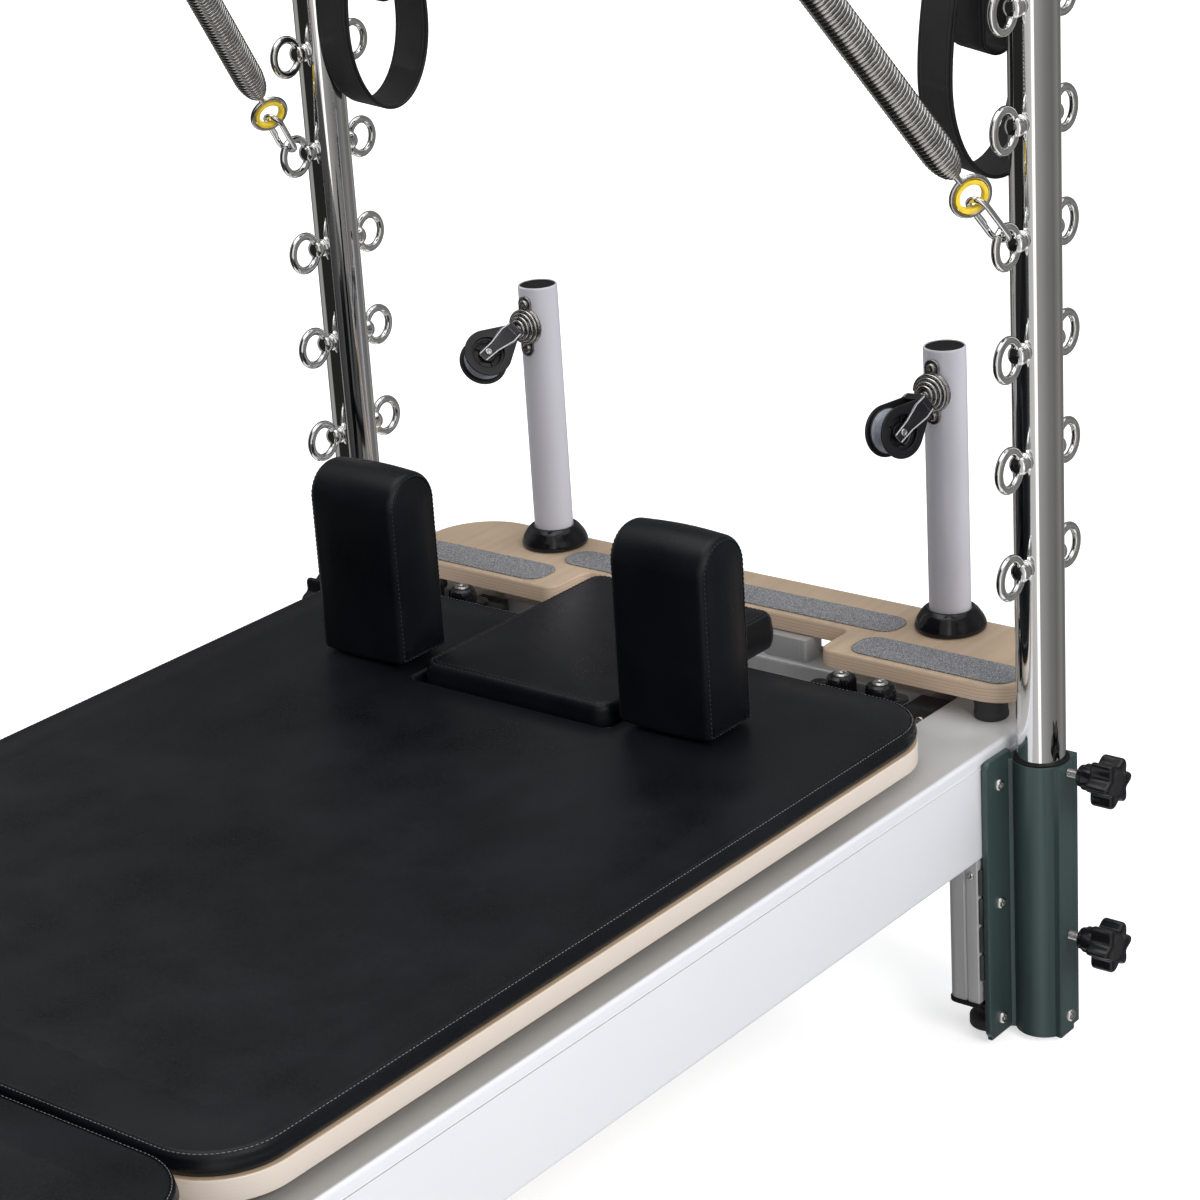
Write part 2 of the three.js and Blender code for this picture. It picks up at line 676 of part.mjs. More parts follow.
// One window of a cheek, between its rim and the strap over the axle
function windowOutline(k) {
  const inside = Math.asin(WINDOW.gap / WINDOW.inner);
  const outside = Math.asin(WINDOW.gap / WINDOW.outer);
  const points = [];
  for (let i = 0; i <= WINDOW.steps; i += 1) {
    const angle = outside + (Math.PI - outside - outside) * (i / WINDOW.steps);
    points.push(new THREE.Vector2(Math.cos(angle) * WINDOW.outer, k * Math.sin(angle) * WINDOW.outer));
  }
  for (let i = WINDOW.steps; i >= 0; i -= 1) {
    const angle = inside + (Math.PI - inside - inside) * (i / WINDOW.steps);
    points.push(new THREE.Vector2(Math.cos(angle) * WINDOW.inner, k * Math.sin(angle) * WINDOW.inner));
  }
  return points;
}

// Cheeks run tangent from the round end down to the neck
function pulleyBlock(s) {
  const inner = SHEAVE.half + BLOCK.clear;
  const outer = inner + BLOCK.cheekThick;
  const tail = BLOCK.reach - BLOCK_STEM;
  const corner = Math.atan2(BLOCK.neckHalf, -tail);
  const tangent = corner - Math.acos(BLOCK.cheek / Math.hypot(tail, BLOCK.neckHalf));
  const points = [];
  for (let k = -CHEEK_STEPS; k <= CHEEK_STEPS; k += 1) {
    const angle = (k / CHEEK_STEPS) * tangent;
    points.push(new THREE.Vector2(Math.cos(angle) * BLOCK.cheek, Math.sin(angle) * BLOCK.cheek));
  }
  points.push(new THREE.Vector2(-tail, BLOCK.neckHalf));
  points.push(new THREE.Vector2(-tail, -BLOCK.neckHalf));
  const windows = SIDES.map((k) => windowOutline(k));
  const cheeks = SIDES.map((k) => prism('z', points, k * inner, k * outer, windows));
  const neck = block([-tail, -tail + BLOCK.neck], [-BLOCK.neckHalf, BLOCK.neckHalf], [-outer, outer]);
  const stem = rod(point(-BLOCK.reach, 0, 0), point(-tail + JOIN, 0, 0), BLOCK_STEM, COARSE_SIDES);
  const pin = rod(point(0, 0, -outer), point(0, 0, outer), BLOCK.pin, ROUND_SIDES);
  const rivets = SIDES.map((k) => rod(point(0, 0, k * (outer - JOIN)),
    point(0, 0, k * (outer + RIVET.height)), RIVET.radius, COARSE_SIDES));
  return placed(join([...cheeks, neck, stem, pin, ...rivets]), blockFrame(s));
}

function sheave(s) {
  const profile = [
    [SHEAVE.bore, -SHEAVE.half],
    [SHEAVE.rim, -SHEAVE.half],
    [SHEAVE.rim, -SHEAVE.half + SHEAVE.lip],
    [SHEAVE.groove, -SHEAVE.lip],
    [SHEAVE.groove, SHEAVE.lip],
    [SHEAVE.rim, SHEAVE.half - SHEAVE.lip],
    [SHEAVE.rim, SHEAVE.half],
    [SHEAVE.bore, SHEAVE.half],
    [SHEAVE.bore, -SHEAVE.half],
  ];
  return placed(turned(profile, AXIS_Z, point(0, 0, 0)), blockFrame(s));
}

// Tower: uprights and top in one bent tube, with eyebolts front, back and inside
function eyebolt(axisPoint, direction, normal, reach) {
  const tip = axisPoint.clone().addScaledVector(direction, reach - EYEBOLT.ring);
  const root = axisPoint.clone().addScaledVector(direction, TUBE_RADIUS - EYEBOLT.wire);
  const boss = rod(root, tip, EYEBOLT.boss, COARSE_SIDES);
  const centre = axisPoint.clone().addScaledVector(direction, reach);
  return boss.add(ring(centre, normal, EYEBOLT.ring, EYEBOLT.wire));
}

function towerFrame() {
  const path = bentPath([
    [point(0, -TOWER_HALF, TOWER_FOOT), 0],
    [point(0, -TOWER_HALF, TOWER_TOP), TOWER_BEND],
    [point(0, TOWER_HALF, TOWER_TOP), TOWER_BEND],
    [point(0, TOWER_HALF, TOWER_FOOT), 0],
  ]);
  const bodies = [sweep(path, TUBE_RADIUS, TUBE_SIDES)];
  SIDES.forEach((s) => {
    for (let k = 0; k < EYEBOLT_COUNT; k += 1) {
      const at = point(0, s * TOWER_HALF, EYEBOLT_FIRST + k * EYEBOLT_PITCH);
      SIDES.forEach((f) => {
        bodies.push(eyebolt(at, AXIS_X.clone().multiplyScalar(f), AXIS_Y, EYEBOLT.centre));
      });
    }
    const at = point(0, s * TOWER_HALF, STRAP_BOLT_Z);
    bodies.push(eyebolt(at, AXIS_Y.clone().multiplyScalar(-s), AXIS_X, STRAP_BOLT_CENTRE));
  });
  return join(bodies);
}

// Clamp: split sleeve, flange, flat boss, rib and bolt heads
function clamp(s) {
  const y = s * TOWER_HALF;
  const at = point(0, y, 0);
  const sleeve = turned([
    [0, CLAMP_BOTTOM],
    [CLAMP_OUTER, CLAMP_BOTTOM],
    [CLAMP_OUTER, CLAMP_TOP],
    [0, CLAMP_TOP],
  ], AXIS_Z, at, TUBE_SIDES);
  const face = s * (BEAM_OUTER + GAP + GAP);
  const plate = rounded([
    [-FLANGE.reach, FLANGE.bottom, FLANGE.round],
    [FLANGE.end, FLANGE.bottom, 0],
    [FLANGE.end, FLANGE.top, 0],
    [-FLANGE.reach, FLANGE.top, FLANGE.round],
  ]);
  const flange = prism('y', plate, face, face + s * FLANGE.thick);
  const boss = block([BOSS.back, BOSS.front], [y, y + s * BOSS.out], [CLAMP_BOTTOM, CLAMP_TOP]);
  const rib = block([RIB.root, RIB.front], [y, y + s * RIB.out], [CLAMP_BOTTOM, CLAMP_TOP]);
  const outside = face + s * (FLANGE.thick - JOIN);
  const heads = FLANGE_BOLTS.map((z) => rod(point(FLANGE_BOLT_X, outside, z),
    point(FLANGE_BOLT_X, outside + s * (BUTTON.height + JOIN), z), BUTTON.radius, BUTTON.sides));
  const bossFace = y + s * (BOSS.out - JOIN);
  heads.push(rod(point(0, bossFace, LOCK_SCREW_Z),
    point(0, bossFace + s * (BUTTON.height + JOIN), LOCK_SCREW_Z), BUTTON.radius, BUTTON.sides));
  const bore = rod(point(0, y, CLAMP_BOTTOM - OVERRUN), point(0, y, FLANGE.top + OVERRUN),
    TUBE_RADIUS + GAP, TUBE_SIDES);
  const slot = block([BOSS.front, RIB.back], [y + s * (TUBE_RADIUS - GAP), y + s * (BOSS.out + OVERRUN)],
    [CLAMP_BOTTOM - OVERRUN, CLAMP_TOP + OVERRUN]);
  const taps = KNOB_HEIGHTS.map((z) => rod(point(0, y, z), point(0, y + s * (BOSS.out + OVERRUN), z),
    KNOB.stem + KNOB.stemPlay, ROUND_SIDES));
  return cut(join([sleeve, flange, boss, rib, ...heads]), [bore, slot, ...taps]);
}

// Star knob on a set screw that presses the tube
function knob(s, z) {
  const y = s * TOWER_HALF;
  const stem = rod(point(0, y + s * (TUBE_RADIUS + GAP), z), point(0, y + s * (KNOB.hubStart + JOIN), z),
    KNOB.stem, COARSE_SIDES);
  const hub = rod(point(0, y + s * KNOB.hubStart, z), point(0, y + s * (KNOB.starStart + JOIN), z), KNOB.hub);
  const outline = [];
  for (let k = 0; k < STAR.points; k += 1) {
    const angle = (k / STAR.points) * TURN;
    const radius = STAR.mean + STAR.swing * Math.cos(angle * STAR.lobes);
    outline.push(new THREE.Vector2(Math.cos(angle) * radius, z + Math.sin(angle) * radius));
  }
  const star = prism('y', outline, y + s * KNOB.starStart, y + s * KNOB.end);
  return join([stem, hub, star]);
}

// Push-through bar: bent tube, collars round the tower top and spring eyes
function leaning(distance, y) {
  return point(-Math.sin(LEAN_ANGLE) * distance, y, TOWER_TOP - Math.cos(LEAN_ANGLE) * distance);
}

function springEye(s) {
  return leaning(BAR_LENGTH - BAR_EYE.fromEnd, s * (BAR_HALF - BAR_EYE.out));
}

function springBolt(s) {
  return point(-EYEBOLT.centre, s * TOWER_HALF, EYEBOLT_FIRST + SPRING_BOLT * EYEBOLT_PITCH);
}

function pushBar() {
  const path = bentPath([
    [leaning(BAR_COLLAR.radius - JOIN, -BAR_HALF), 0],
    [leaning(BAR_LENGTH, -BAR_HALF), BAR_BEND],
    [leaning(BAR_LENGTH, BAR_HALF), BAR_BEND],
    [leaning(BAR_COLLAR.radius - JOIN, BAR_HALF), 0],
  ], BAR_BEND_STEPS);
  const bodies = [sweep(path, BAR_RADIUS, ROUND_SIDES)];
  const hole = [];
  SIDES.forEach((s) => {
    const ends = [s * (BAR_HALF - BAR_COLLAR.half), s * (BAR_HALF + BAR_COLLAR.half)];
    bodies.push(rod(point(0, ends[0], TOWER_TOP), point(0, ends[1], TOWER_TOP), BAR_COLLAR.radius,
      TUBE_SIDES));
    hole.push(rod(point(0, ends[0] - s * OVERRUN, TOWER_TOP), point(0, ends[1] + s * OVERRUN, TOWER_TOP),
      TUBE_RADIUS + BAR_COLLAR.play, TUBE_SIDES));
    const flat = springEye(s).sub(springBolt(s)).setY(0);
    bodies.push(ring(springEye(s), flat.cross(AXIS_Y).normalize(), BAR_EYE.ring, BAR_EYE.wire));
  });
  return cut(join(bodies), hole);
}

// Snap hook from an eyebolt ring to the spring bush
function hookFrame(s) {
  const eye = springBolt(s);
  const flat = springEye(s).sub(eye).setY(0).normalize();
  const seat = eye.clone().addScaledVector(flat, EYEBOLT.ring);
  const pull = springEye(s).sub(seat).normalize();
  const low = seat.clone().addScaledVector(pull, -(EYEBOLT.wire + HOOK.wire + GAP + GAP));
  const high = low.clone().addScaledVector(pull, HOOK.length);
  const across = AXIS_Y.clone().addScaledVector(pull, -pull.y).normalize();
  const centre = high.clone().addScaledVector(pull, BUSH.inner - HOOK.wire - HOOK.play);
  return { pull, low, high, across, centre };
}

function hook(s) {
  const { pull, low, high, across } = hookFrame(s);
  const ends = [[high, 1], [low, -1]];
  const [upper, lower] = ends.map(([tip, sign]) => {
    const arc = [];
    const middle = tip.clone().addScaledVector(pull, -sign * HOOK.half);
    for (let k = 0; k <= HOOK.steps; k += 1) {
      const angle = (k / HOOK.steps) * Math.PI;
      const spoke = across.clone().multiplyScalar(Math.cos(angle) * sign * HOOK.half);
      spoke.addScaledVector(pull, Math.sin(angle) * sign * HOOK.half);
      arc.push(middle.clone().add(spoke));
    }
    return arc;
  });
  const seams = [
    upper[0].clone().lerp(lower[HOOK.steps], HALF),
    upper[HOOK.steps].clone().lerp(lower[0], HALF),
  ];
  const [first, last] = seams.map((seam) => seam.clone().addScaledVector(pull, -JOIN));
  return join([
    sweep([first, ...upper, last], HOOK.wire, HOOK.sides),
    sweep([seams[1], ...lower, seams[0]], HOOK.wire, HOOK.sides),
  ]);
}

// Spring: eye, tapered coil, eye, in one unbroken wire
function springFrame(s) {
  const frame = hookFrame(s);
  const side = AXIS_Y.clone().addScaledVector(frame.pull, -frame.pull.y).normalize();
  const normal = side.clone().applyAxisAngle(frame.pull, SPRING_TWIST_ANGLE);
  return { ...frame, normal };
}

function springPath(s) {
  const { pull, centre, normal } = springFrame(s);
  const side = normal.clone().cross(pull).normalize();
  const topSide = AXIS_Y.clone().addScaledVector(pull, -pull.y).cross(pull).normalize();
  const link = BAR_EYE.ring - BAR_EYE.wire - SPRING_WIRE - GAP - GAP;
  const length = springEye(s).sub(centre).dot(pull) - link - SPRING_TOP_EYE;
  const path = [];
  const at = (along, u, v) => centre.clone().addScaledVector(pull, along)
    .addScaledVector(side, u).addScaledVector(normal, v);
  const eye = (station, radius, sign, across) => {
    for (let k = 0; k <= SPRING_EYE_STEPS; k += 1) {
      const share = sign > 0 ? k / SPRING_EYE_STEPS : 1 - k / SPRING_EYE_STEPS;
      const angle = SPRING_EYE_OPEN_ANGLE + share * (TURN - SPRING_EYE_OPEN_ANGLE);
      const spot = centre.clone().addScaledVector(pull, station + sign * Math.cos(angle) * radius);
      path.push(spot.addScaledVector(across, Math.sin(angle) * radius));
    }
  };
  eye(0, SPRING_EYE, 1, side);
  const start = SPRING_EYE + SPRING_TAIL;
  const finish = length - SPRING_TOP_EYE - SPRING_TAIL;
  const steps = SPRING_CURLS * CURL_STEPS;
  const taper = SPRING_TAPER_CURLS * CURL_STEPS;
  for (let k = 0; k <= steps; k += 1) {
    const nearest = Math.min(k, steps - k);
    const share = Math.min(1, nearest / taper);
    const radius = SPRING_RADIUS * Math.sqrt(share * (2 - share));
    const angle = (k / CURL_STEPS) * TURN;
    const along = start + (finish - start) * (k / steps);
    path.push(at(along, Math.cos(angle) * radius, Math.sin(angle) * radius));
  }
  eye(length, SPRING_TOP_EYE, -1, topSide);
  return path;
}

function bush(s) {
  const { centre, normal } = springFrame(s);
  const profile = [
    [BUSH.inner, -BUSH.half],
    [BUSH.outer, -BUSH.half],
    [BUSH.outer, BUSH.half],
    [BUSH.inner, BUSH.half],
    [BUSH.inner, -BUSH.half],
  ];
  return turned(profile, normal, centre);
}

// Webbing: a long loop, a shorter folded band and a narrow hanger through the ring
function loopOutline(inset) {
  const points = [];
  const belly = STRAP.belly - inset;
  const low = STRAP.bottom + inset;
  for (let k = 0; k <= STRAP_STEPS + STRAP_STEPS; k += 1) {
    const angle = Math.PI + (k / (STRAP_STEPS + STRAP_STEPS)) * Math.PI;
    const z = STRAP.bellyZ + Math.sin(angle) * (STRAP.bellyZ - low);
    points.push(new THREE.Vector2(STRAP.x + Math.cos(angle) * belly, z));
  }
  const narrow = CUFF.half + STRAP.thick + CUFF.ease - inset;
  const mid = (STRAP.bellyZ + STRAP.neck) * HALF;
  points.push(new THREE.Vector2(STRAP.x + (belly + narrow) * HALF, mid));
  points.push(new THREE.Vector2(STRAP.x + narrow, STRAP.neck - inset));
  points.push(new THREE.Vector2(STRAP.x - narrow, STRAP.neck - inset));
  points.push(new THREE.Vector2(STRAP.x - (belly + narrow) * HALF, mid));
  return points;
}

function strap(s) {
  const middle = TOWER_HALF - STRAP_BOLT_CENTRE - STRAP.aside;
  const inner = s * (middle - STRAP.half);
  const outer = s * (middle + STRAP.half);
  const loop = prism('y', loopOutline(0), inner, outer, [loopOutline(STRAP.thick)]);
  const fold = rounded([
    [STRAP.x - CUFF.half, CUFF.bottom, CUFF.round],
    [STRAP.x + CUFF.half, CUFF.bottom, CUFF.round],
    [STRAP.x + CUFF.half, STRAP.neck - JOIN, 0],
    [STRAP.x - CUFF.half, STRAP.neck - JOIN, 0],
  ]);
  const slit = rounded([
    [STRAP.x - CUFF.half + STRAP.thick, CUFF.bottom + STRAP.thick, CUFF.round - STRAP.thick],
    [STRAP.x + CUFF.half - STRAP.thick, CUFF.bottom + STRAP.thick, CUFF.round - STRAP.thick],
    [STRAP.x + CUFF.half - STRAP.thick, CUFF.top, 0],
    [STRAP.x - CUFF.half + STRAP.thick, CUFF.top, 0],
  ]);
  const cuff = prism('y', fold, inner, outer, [slit]);
  const ringY = s * (TOWER_HALF - STRAP_BOLT_CENTRE);
  const wireZ = STRAP_BOLT_Z - EYEBOLT.ring;
  const top = wireZ + HANGER.rise + HANGER.outer;
  const hanger = rounded([
    [STRAP.x - STRAP.thick, STRAP.neck - STRAP.thick, 0],
    [STRAP.x + STRAP.thick, STRAP.neck - STRAP.thick, 0],
    [HANGER.outer, wireZ - HANGER.outer, 0],
    [HANGER.outer, top, STRAP.thick],
    [-HANGER.outer, top, STRAP.thick],
    [-HANGER.outer, wireZ - HANGER.outer, 0],
  ]);
  const bite = EYEBOLT.wire + HANGER.play;
  const eye = rounded([
    [-bite, wireZ - bite, HANGER.round],
    [bite, wireZ - bite, HANGER.round],
    [bite, wireZ + bite + HANGER.rise, HANGER.round],
    [-bite, wireZ + bite + HANGER.rise, HANGER.round],
  ], EDGE_STEPS);
  const band = prism('y', hanger, ringY - HANGER.half, ringY + HANGER.half, [eye]);
  return join([loop, cuff, band]);
}

// Carriage board and pad, with the notch that takes the headrest
function boardOutline() {
  const half = [
    [CARRIAGE_FOOT, PAD_HALF, PAD_ROUND],
    [CARRIAGE_HEAD, PAD_HALF, PAD_ROUND],
    [CARRIAGE_HEAD, TAB_OUTER, 0],
    [TAB.head, TAB_OUTER, TAB.round],
    [TAB.head, TAB_INNER, TAB.round],
    [CARRIAGE_HEAD, TAB_INNER, 0],
  ];
  const other = half.map(([x, y, r]) => [x, -y, r]).reverse();
  return rounded([...half, ...other]);
}

function padOutline(head, foot, notch) {
  const corners = [
    [foot, PAD_HALF, PAD_ROUND],
    [head, PAD_HALF, PAD_ROUND],
  ];
  if (notch) {
    corners.push([head, HEADREST.half + HEADREST.play, 0]);
    corners.push([HEADREST.foot - HEADREST.play, HEADREST.half + HEADREST.play, 0]);
  }
  const other = corners.map(([x, y, r]) => [x, -y, r]).reverse();
  return rounded([...corners, ...other]);
}

// Upholstery: drawn in at the board, full at mid height, crowned over the top edge
function cushion(axis, outline, from, to, crown, draw) {
  const low = prism(axis, outline, from, to, [], draw);
  return low.intersect(prism(axis, outline, from - crown, to, [], crown));
}

function shoulderRest(s) {
  const bottom = PAD_TOP + GAP;
  const radius = (SHOULDER.head - SHOULDER.foot) * HALF - SHOULDER.flat;
  const outline = rounded([
    [SHOULDER.foot, bottom, SHOULDER.round],
    [SHOULDER.head, bottom, SHOULDER.round],
    [SHOULDER.head, SHOULDER.top, radius],
    [SHOULDER.foot, SHOULDER.top, radius],
  ], FINE_CORNER_STEPS);
  return prism('y', outline, s * SHOULDER.inner, s * SHOULDER.outer, [], SHOULDER.crown);
}

function headrest() {
  const outline = rounded([
    [HEADREST.foot, -HEADREST.half, HEADREST.round],
    [HEADREST.head, -HEADREST.half, HEADREST.round],
    [HEADREST.head, HEADREST.half, HEADREST.round],
    [HEADREST.foot, HEADREST.half, HEADREST.round],
  ]);
  return prism('z', outline, PAD_BOTTOM, HEADREST.top, [], PAD_DRAW);
}

// Pair of cam cleats on a plate
function cleat(s) {
  const base = PAD_BOTTOM + GAP;
  const y = s * (TAB_INNER + TAB.width * HALF + CLEAT.aside);
  const plate = block([CLEAT.x - CLEAT.plateDepth, CLEAT.x + CLEAT.plateDepth],
    [y - CLEAT.plateHalf, y + CLEAT.plateHalf], [base, base + CLEAT.plate]);
  const cams = SIDES.map((k) => turned([
    [0, base + JOIN],
    [CAM.radius, base + JOIN],
    [CAM.radius, base + CAM.height - CAM.crown],
    [CAM.radius - CAM.crown, base + CAM.height],
    [CAM.head, base + CAM.height],
    [CAM.head, base + CAM.height + CAM.headHeight],
    [0, base + CAM.height + CAM.headHeight],
  ], AXIS_Z, point(CLEAT.x, y + k * CLEAT.half, 0)));
  return join([plate, ...cams]);
}

// Underframe of the carriage and its two wheel sets
const AXLE_Z = LEDGE_TOP + GAP + WHEEL.radius;

function truck() {
  const top = RIDE_BOTTOM - GAP;
  const rails = SIDES.map((s) => block([TRUCK.foot, TRUCK.head], [s * TRUCK.inner, s * TRUCK.outer],
    [TRUCK.bottom, top]));
  const ties = AXLE_XS.map((x) => block([x - TRUCK.tieWidth, x + TRUCK.tieWidth],
    [-TRUCK.inner - JOIN, TRUCK.inner + JOIN], [TRUCK.tie, top]));
  const bores = AXLE_XS.map((x) => rod(point(x, -TRUCK.outer - OVERRUN, AXLE_Z),
    point(x, TRUCK.outer + OVERRUN, AXLE_Z), AXLE.radius + AXLE.play, ROUND_SIDES));
  return cut(join([...rails, ...ties]), bores);
}

function wheelset(x) {
  const axle = rod(point(x, -WHEEL.inner - JOIN, AXLE_Z), point(x, WHEEL.inner + JOIN, AXLE_Z), AXLE.radius);
  const wheels = SIDES.map((s) => rod(point(x, s * WHEEL.inner, AXLE_Z), point(x, s * WHEEL.outer, AXLE_Z),
    WHEEL.radius, TUBE_SIDES));
  return join([axle, ...wheels]);
}

function matBoard() {
  const board = prism('z', padOutline(MAT_HEAD, MAT_FOOT, false), RIDE_BOTTOM, PAD_BOTTOM - GAP);
  const gliders = SIDES.map((s) => block([MAT_FOOT + PAD_ROUND, MAT_HEAD - PAD_ROUND],
    [s * GLIDER_INNER, s * GLIDER_OUTER], [BEAM_TOP + GAP, RIDE_BOTTOM + JOIN]));
  return join([board, ...gliders]);
}

// Foot deck and the folded footbar
function footDeck() {
  const outline = rounded([
    [FOOT_DECK.foot, -PAD_HALF, FOOT_DECK.round],
    [FOOT_DECK.head, -PAD_HALF, FOOT_DECK.round],
    [FOOT_DECK.head, PAD_HALF, FOOT_DECK.round],
    [FOOT_DECK.foot, PAD_HALF, FOOT_DECK.round],
  ]);
  return prism('z', outline, BEAM_TOP + GAP, BEAM_TOP + GAP + BOARD, [], EDGE_ROUND);
}

function footbar() {
  const end = FOOTBAR_END;
  const sleeve = FOOTBAR_HALF - FOOTBAR_SLEEVE.side;
  const path = bentPath([
    [point(FOOTBAR_PIVOT, -FOOTBAR_HALF, FOOTBAR.z), 0],
    [point(end, -FOOTBAR_HALF, FOOTBAR.z), FOOTBAR.bend],
    [point(end, FOOTBAR_HALF, FOOTBAR.z), FOOTBAR.bend],
    [point(FOOTBAR_PIVOT, FOOTBAR_HALF, FOOTBAR.z), 0],
  ], BAR_BEND_STEPS);
  const bodies = [sweep(path, FOOTBAR.radius, ROUND_SIDES)];
  bodies.push(rod(point(end, -sleeve, FOOTBAR.z), point(end, sleeve, FOOTBAR.z),
    FOOTBAR_SLEEVE.radius));
  SIDES.forEach((s) => {
    bodies.push(rod(point(FOOTBAR_PIVOT, s * (BEAM_OUTER + GAP), FOOTBAR.z),
      point(FOOTBAR_PIVOT, s * (FOOTBAR_HALF + FOOTBAR.radius), FOOTBAR.z), FOOTBAR.hub));
  });
  return join(bodies);
}

// Bed frame nodes
const platformBottom = PLATFORM_TOP - PLATFORM_THICK;
node('head_crossbeam', join([crossbeam(BEAM_HEAD, -1), ...pedestals(BEAM_HEAD, platformBottom)]), 'grey');
node('foot_crossbeam', crossbeam(BEAM_FOOT, 1), 'grey');
node('head_platform', platform(), 'ply');
node('grip_middle', grip(MIDDLE_GRIP.front, MIDDLE_GRIP.back, -MIDDLE_GRIP.half, MIDDLE_GRIP.half), 'grip');
node('foot_deck', footDeck(), 'ply');

SIDES.forEach((s) => {
  const side = SIDE_NAMES[s];
  node(`side_beam_${side}`, beam(s), 'white');
  node(`leg_head_${side}`, leg(s, LEG_HEAD_X), 'grey');
  node(`leg_foot_${side}`, leg(s, LEG_FOOT_X), 'grey');
  node(`clamp_shim_${side}`, shim(s), 'black');
  node(`grip_ear_${side}`, grip(EAR_GRIP.front, EAR_GRIP.back, s * EAR_GRIP.inner, s * EAR_GRIP.outer),
    'grip');
  node(`platform_spacer_${side}`, rod(point(SPACER.x, s * SPACER.y, BEAM_TOP + GAP),
    point(SPACER.x, s * SPACER.y, platformBottom - GAP), SPACER.radius), 'black');
  node(`bumper_${side}`, bumper(s), 'black');
  node(`post_${side}`, post(s), 'white');
  node(`post_cap_${side}`, postCap(s), 'black');
  node(`post_collar_${side}`, collar(s), 'black');
  node(`eye_plate_${side}`, eyePlate(s), 'steel');
  node(`pulley_block_${side}`, pulleyBlock(s), 'black');
  node(`pulley_sheave_${side}`, sheave(s), 'sheave');
  node(`tower_clamp_${side}`, clamp(s), 'green');
  KNOB_HEIGHTS.forEach((z, k) => node(`knob_${KNOB_NAMES[k]}_${side}`, knob(s, z), 'black'));
  node(`tower_spring_${side}`, sweep(springPath(s), SPRING_WIRE, WIRE_SIDES), 'steel');
  node(`spring_bush_${side}`, bush(s), 'yellow');
  node(`snap_hook_${side}`, hook(s), 'steel');
  node(`strap_${side}`, strap(s), 'webbing');
  node(`shoulder_rest_${side}`, shoulderRest(s), 'vinyl');
  node(`cam_cleat_${side}`, cleat(s), 'black');
  const gap = leastGap(springPath(s), SPRING_WIRE, NEXT_CURL_STEPS);
  if (gap < LEAST_GAP) {
    throw new Error(`spring ${side} wire is too close to itself: ${gap}`);
  }
  console.log(`least gap of the ${side} spring wire to itself, mm:`, gap.toFixed(2));
});

// Tower and push-through bar nodes
node('tower_frame', towerFrame(), 'chrome');
node('push_bar', pushBar(), 'chrome');

// Carriage, mat insert and footbar nodes
node('carriage_board', prism('z', boardOutline(), RIDE_BOTTOM, PAD_BOTTOM - GAP), 'ply');
const carriageOutline = padOutline(CARRIAGE_HEAD, CARRIAGE_FOOT, true);
const matOutline = padOutline(MAT_HEAD, MAT_FOOT, false);
node('carriage_pad', cushion('z', carriageOutline, PAD_BOTTOM, PAD_TOP, PAD_CROWN, PAD_DRAW), 'vinyl');
node('headrest', headrest(), 'vinyl');
node('carriage_truck', truck(), 'grey');
node('wheelset_head', wheelset(AXLE_XS[0]), 'steel');
node('wheelset_foot', wheelset(AXLE_XS[1]), 'steel');
node('mat_board', matBoard(), 'ply');
node('mat_pad', cushion('z', matOutline, PAD_BOTTOM, PAD_TOP, PAD_CROWN, PAD_DRAW), 'vinyl');
node('footbar', footbar(), 'steel');

// Everything moves so that the frame sits at the middle of the machine, on the floor
const group = new THREE.Group();
nodes.forEach((mesh) => {
  mesh.geometry.translate(-CENTRE_X, 0, 0);
  group.add(mesh);
});

export default group;
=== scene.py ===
"""Pilates tower unit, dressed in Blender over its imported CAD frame.

All sizes are in millimetres in the machine's own frame (x = 0 at the tower tube, +x to the head end,
+y left, z = 0 on the floor) until world() turns them into the row frame's metres.
"""
import json
import bmesh
import bpy
import numpy as np
from mathutils import Matrix, Vector
from mathutils.geometry import delaunay_2d_cdt

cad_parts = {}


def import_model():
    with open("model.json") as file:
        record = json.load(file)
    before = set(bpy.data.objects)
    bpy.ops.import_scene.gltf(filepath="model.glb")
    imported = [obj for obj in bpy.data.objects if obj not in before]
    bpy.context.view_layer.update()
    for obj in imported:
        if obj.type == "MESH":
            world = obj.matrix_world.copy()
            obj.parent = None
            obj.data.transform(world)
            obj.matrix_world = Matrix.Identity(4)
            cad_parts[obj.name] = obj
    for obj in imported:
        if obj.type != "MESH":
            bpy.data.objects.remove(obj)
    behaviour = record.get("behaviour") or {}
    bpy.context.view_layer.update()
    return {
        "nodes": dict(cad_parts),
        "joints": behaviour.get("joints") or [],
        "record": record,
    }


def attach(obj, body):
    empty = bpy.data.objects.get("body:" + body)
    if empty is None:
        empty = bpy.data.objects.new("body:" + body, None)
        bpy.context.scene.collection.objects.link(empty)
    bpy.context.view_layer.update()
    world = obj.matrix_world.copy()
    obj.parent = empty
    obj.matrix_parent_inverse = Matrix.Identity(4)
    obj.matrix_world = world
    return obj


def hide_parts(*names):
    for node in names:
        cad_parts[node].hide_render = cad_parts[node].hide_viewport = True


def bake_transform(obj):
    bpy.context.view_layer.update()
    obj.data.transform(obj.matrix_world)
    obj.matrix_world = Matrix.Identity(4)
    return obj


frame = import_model()

TURN = 2 * np.pi
QUARTER = np.pi / 2
MACHINE_CENTRE = -1088.5
SIDES = {"right": -1, "left": 1}
UP, ALONG, ACROSS = (0, 0, 1), (1, 0, 0), (0, 1, 0)

# Camera: fitted to the photograph's edges, without shift or depth of field

CAMERA = {"lens": 94.0, "film": 36.0, "place": (-0.92098, -1.56087, 1.299),
          "turn": (68.9365, 3.4608, -52.0137)}


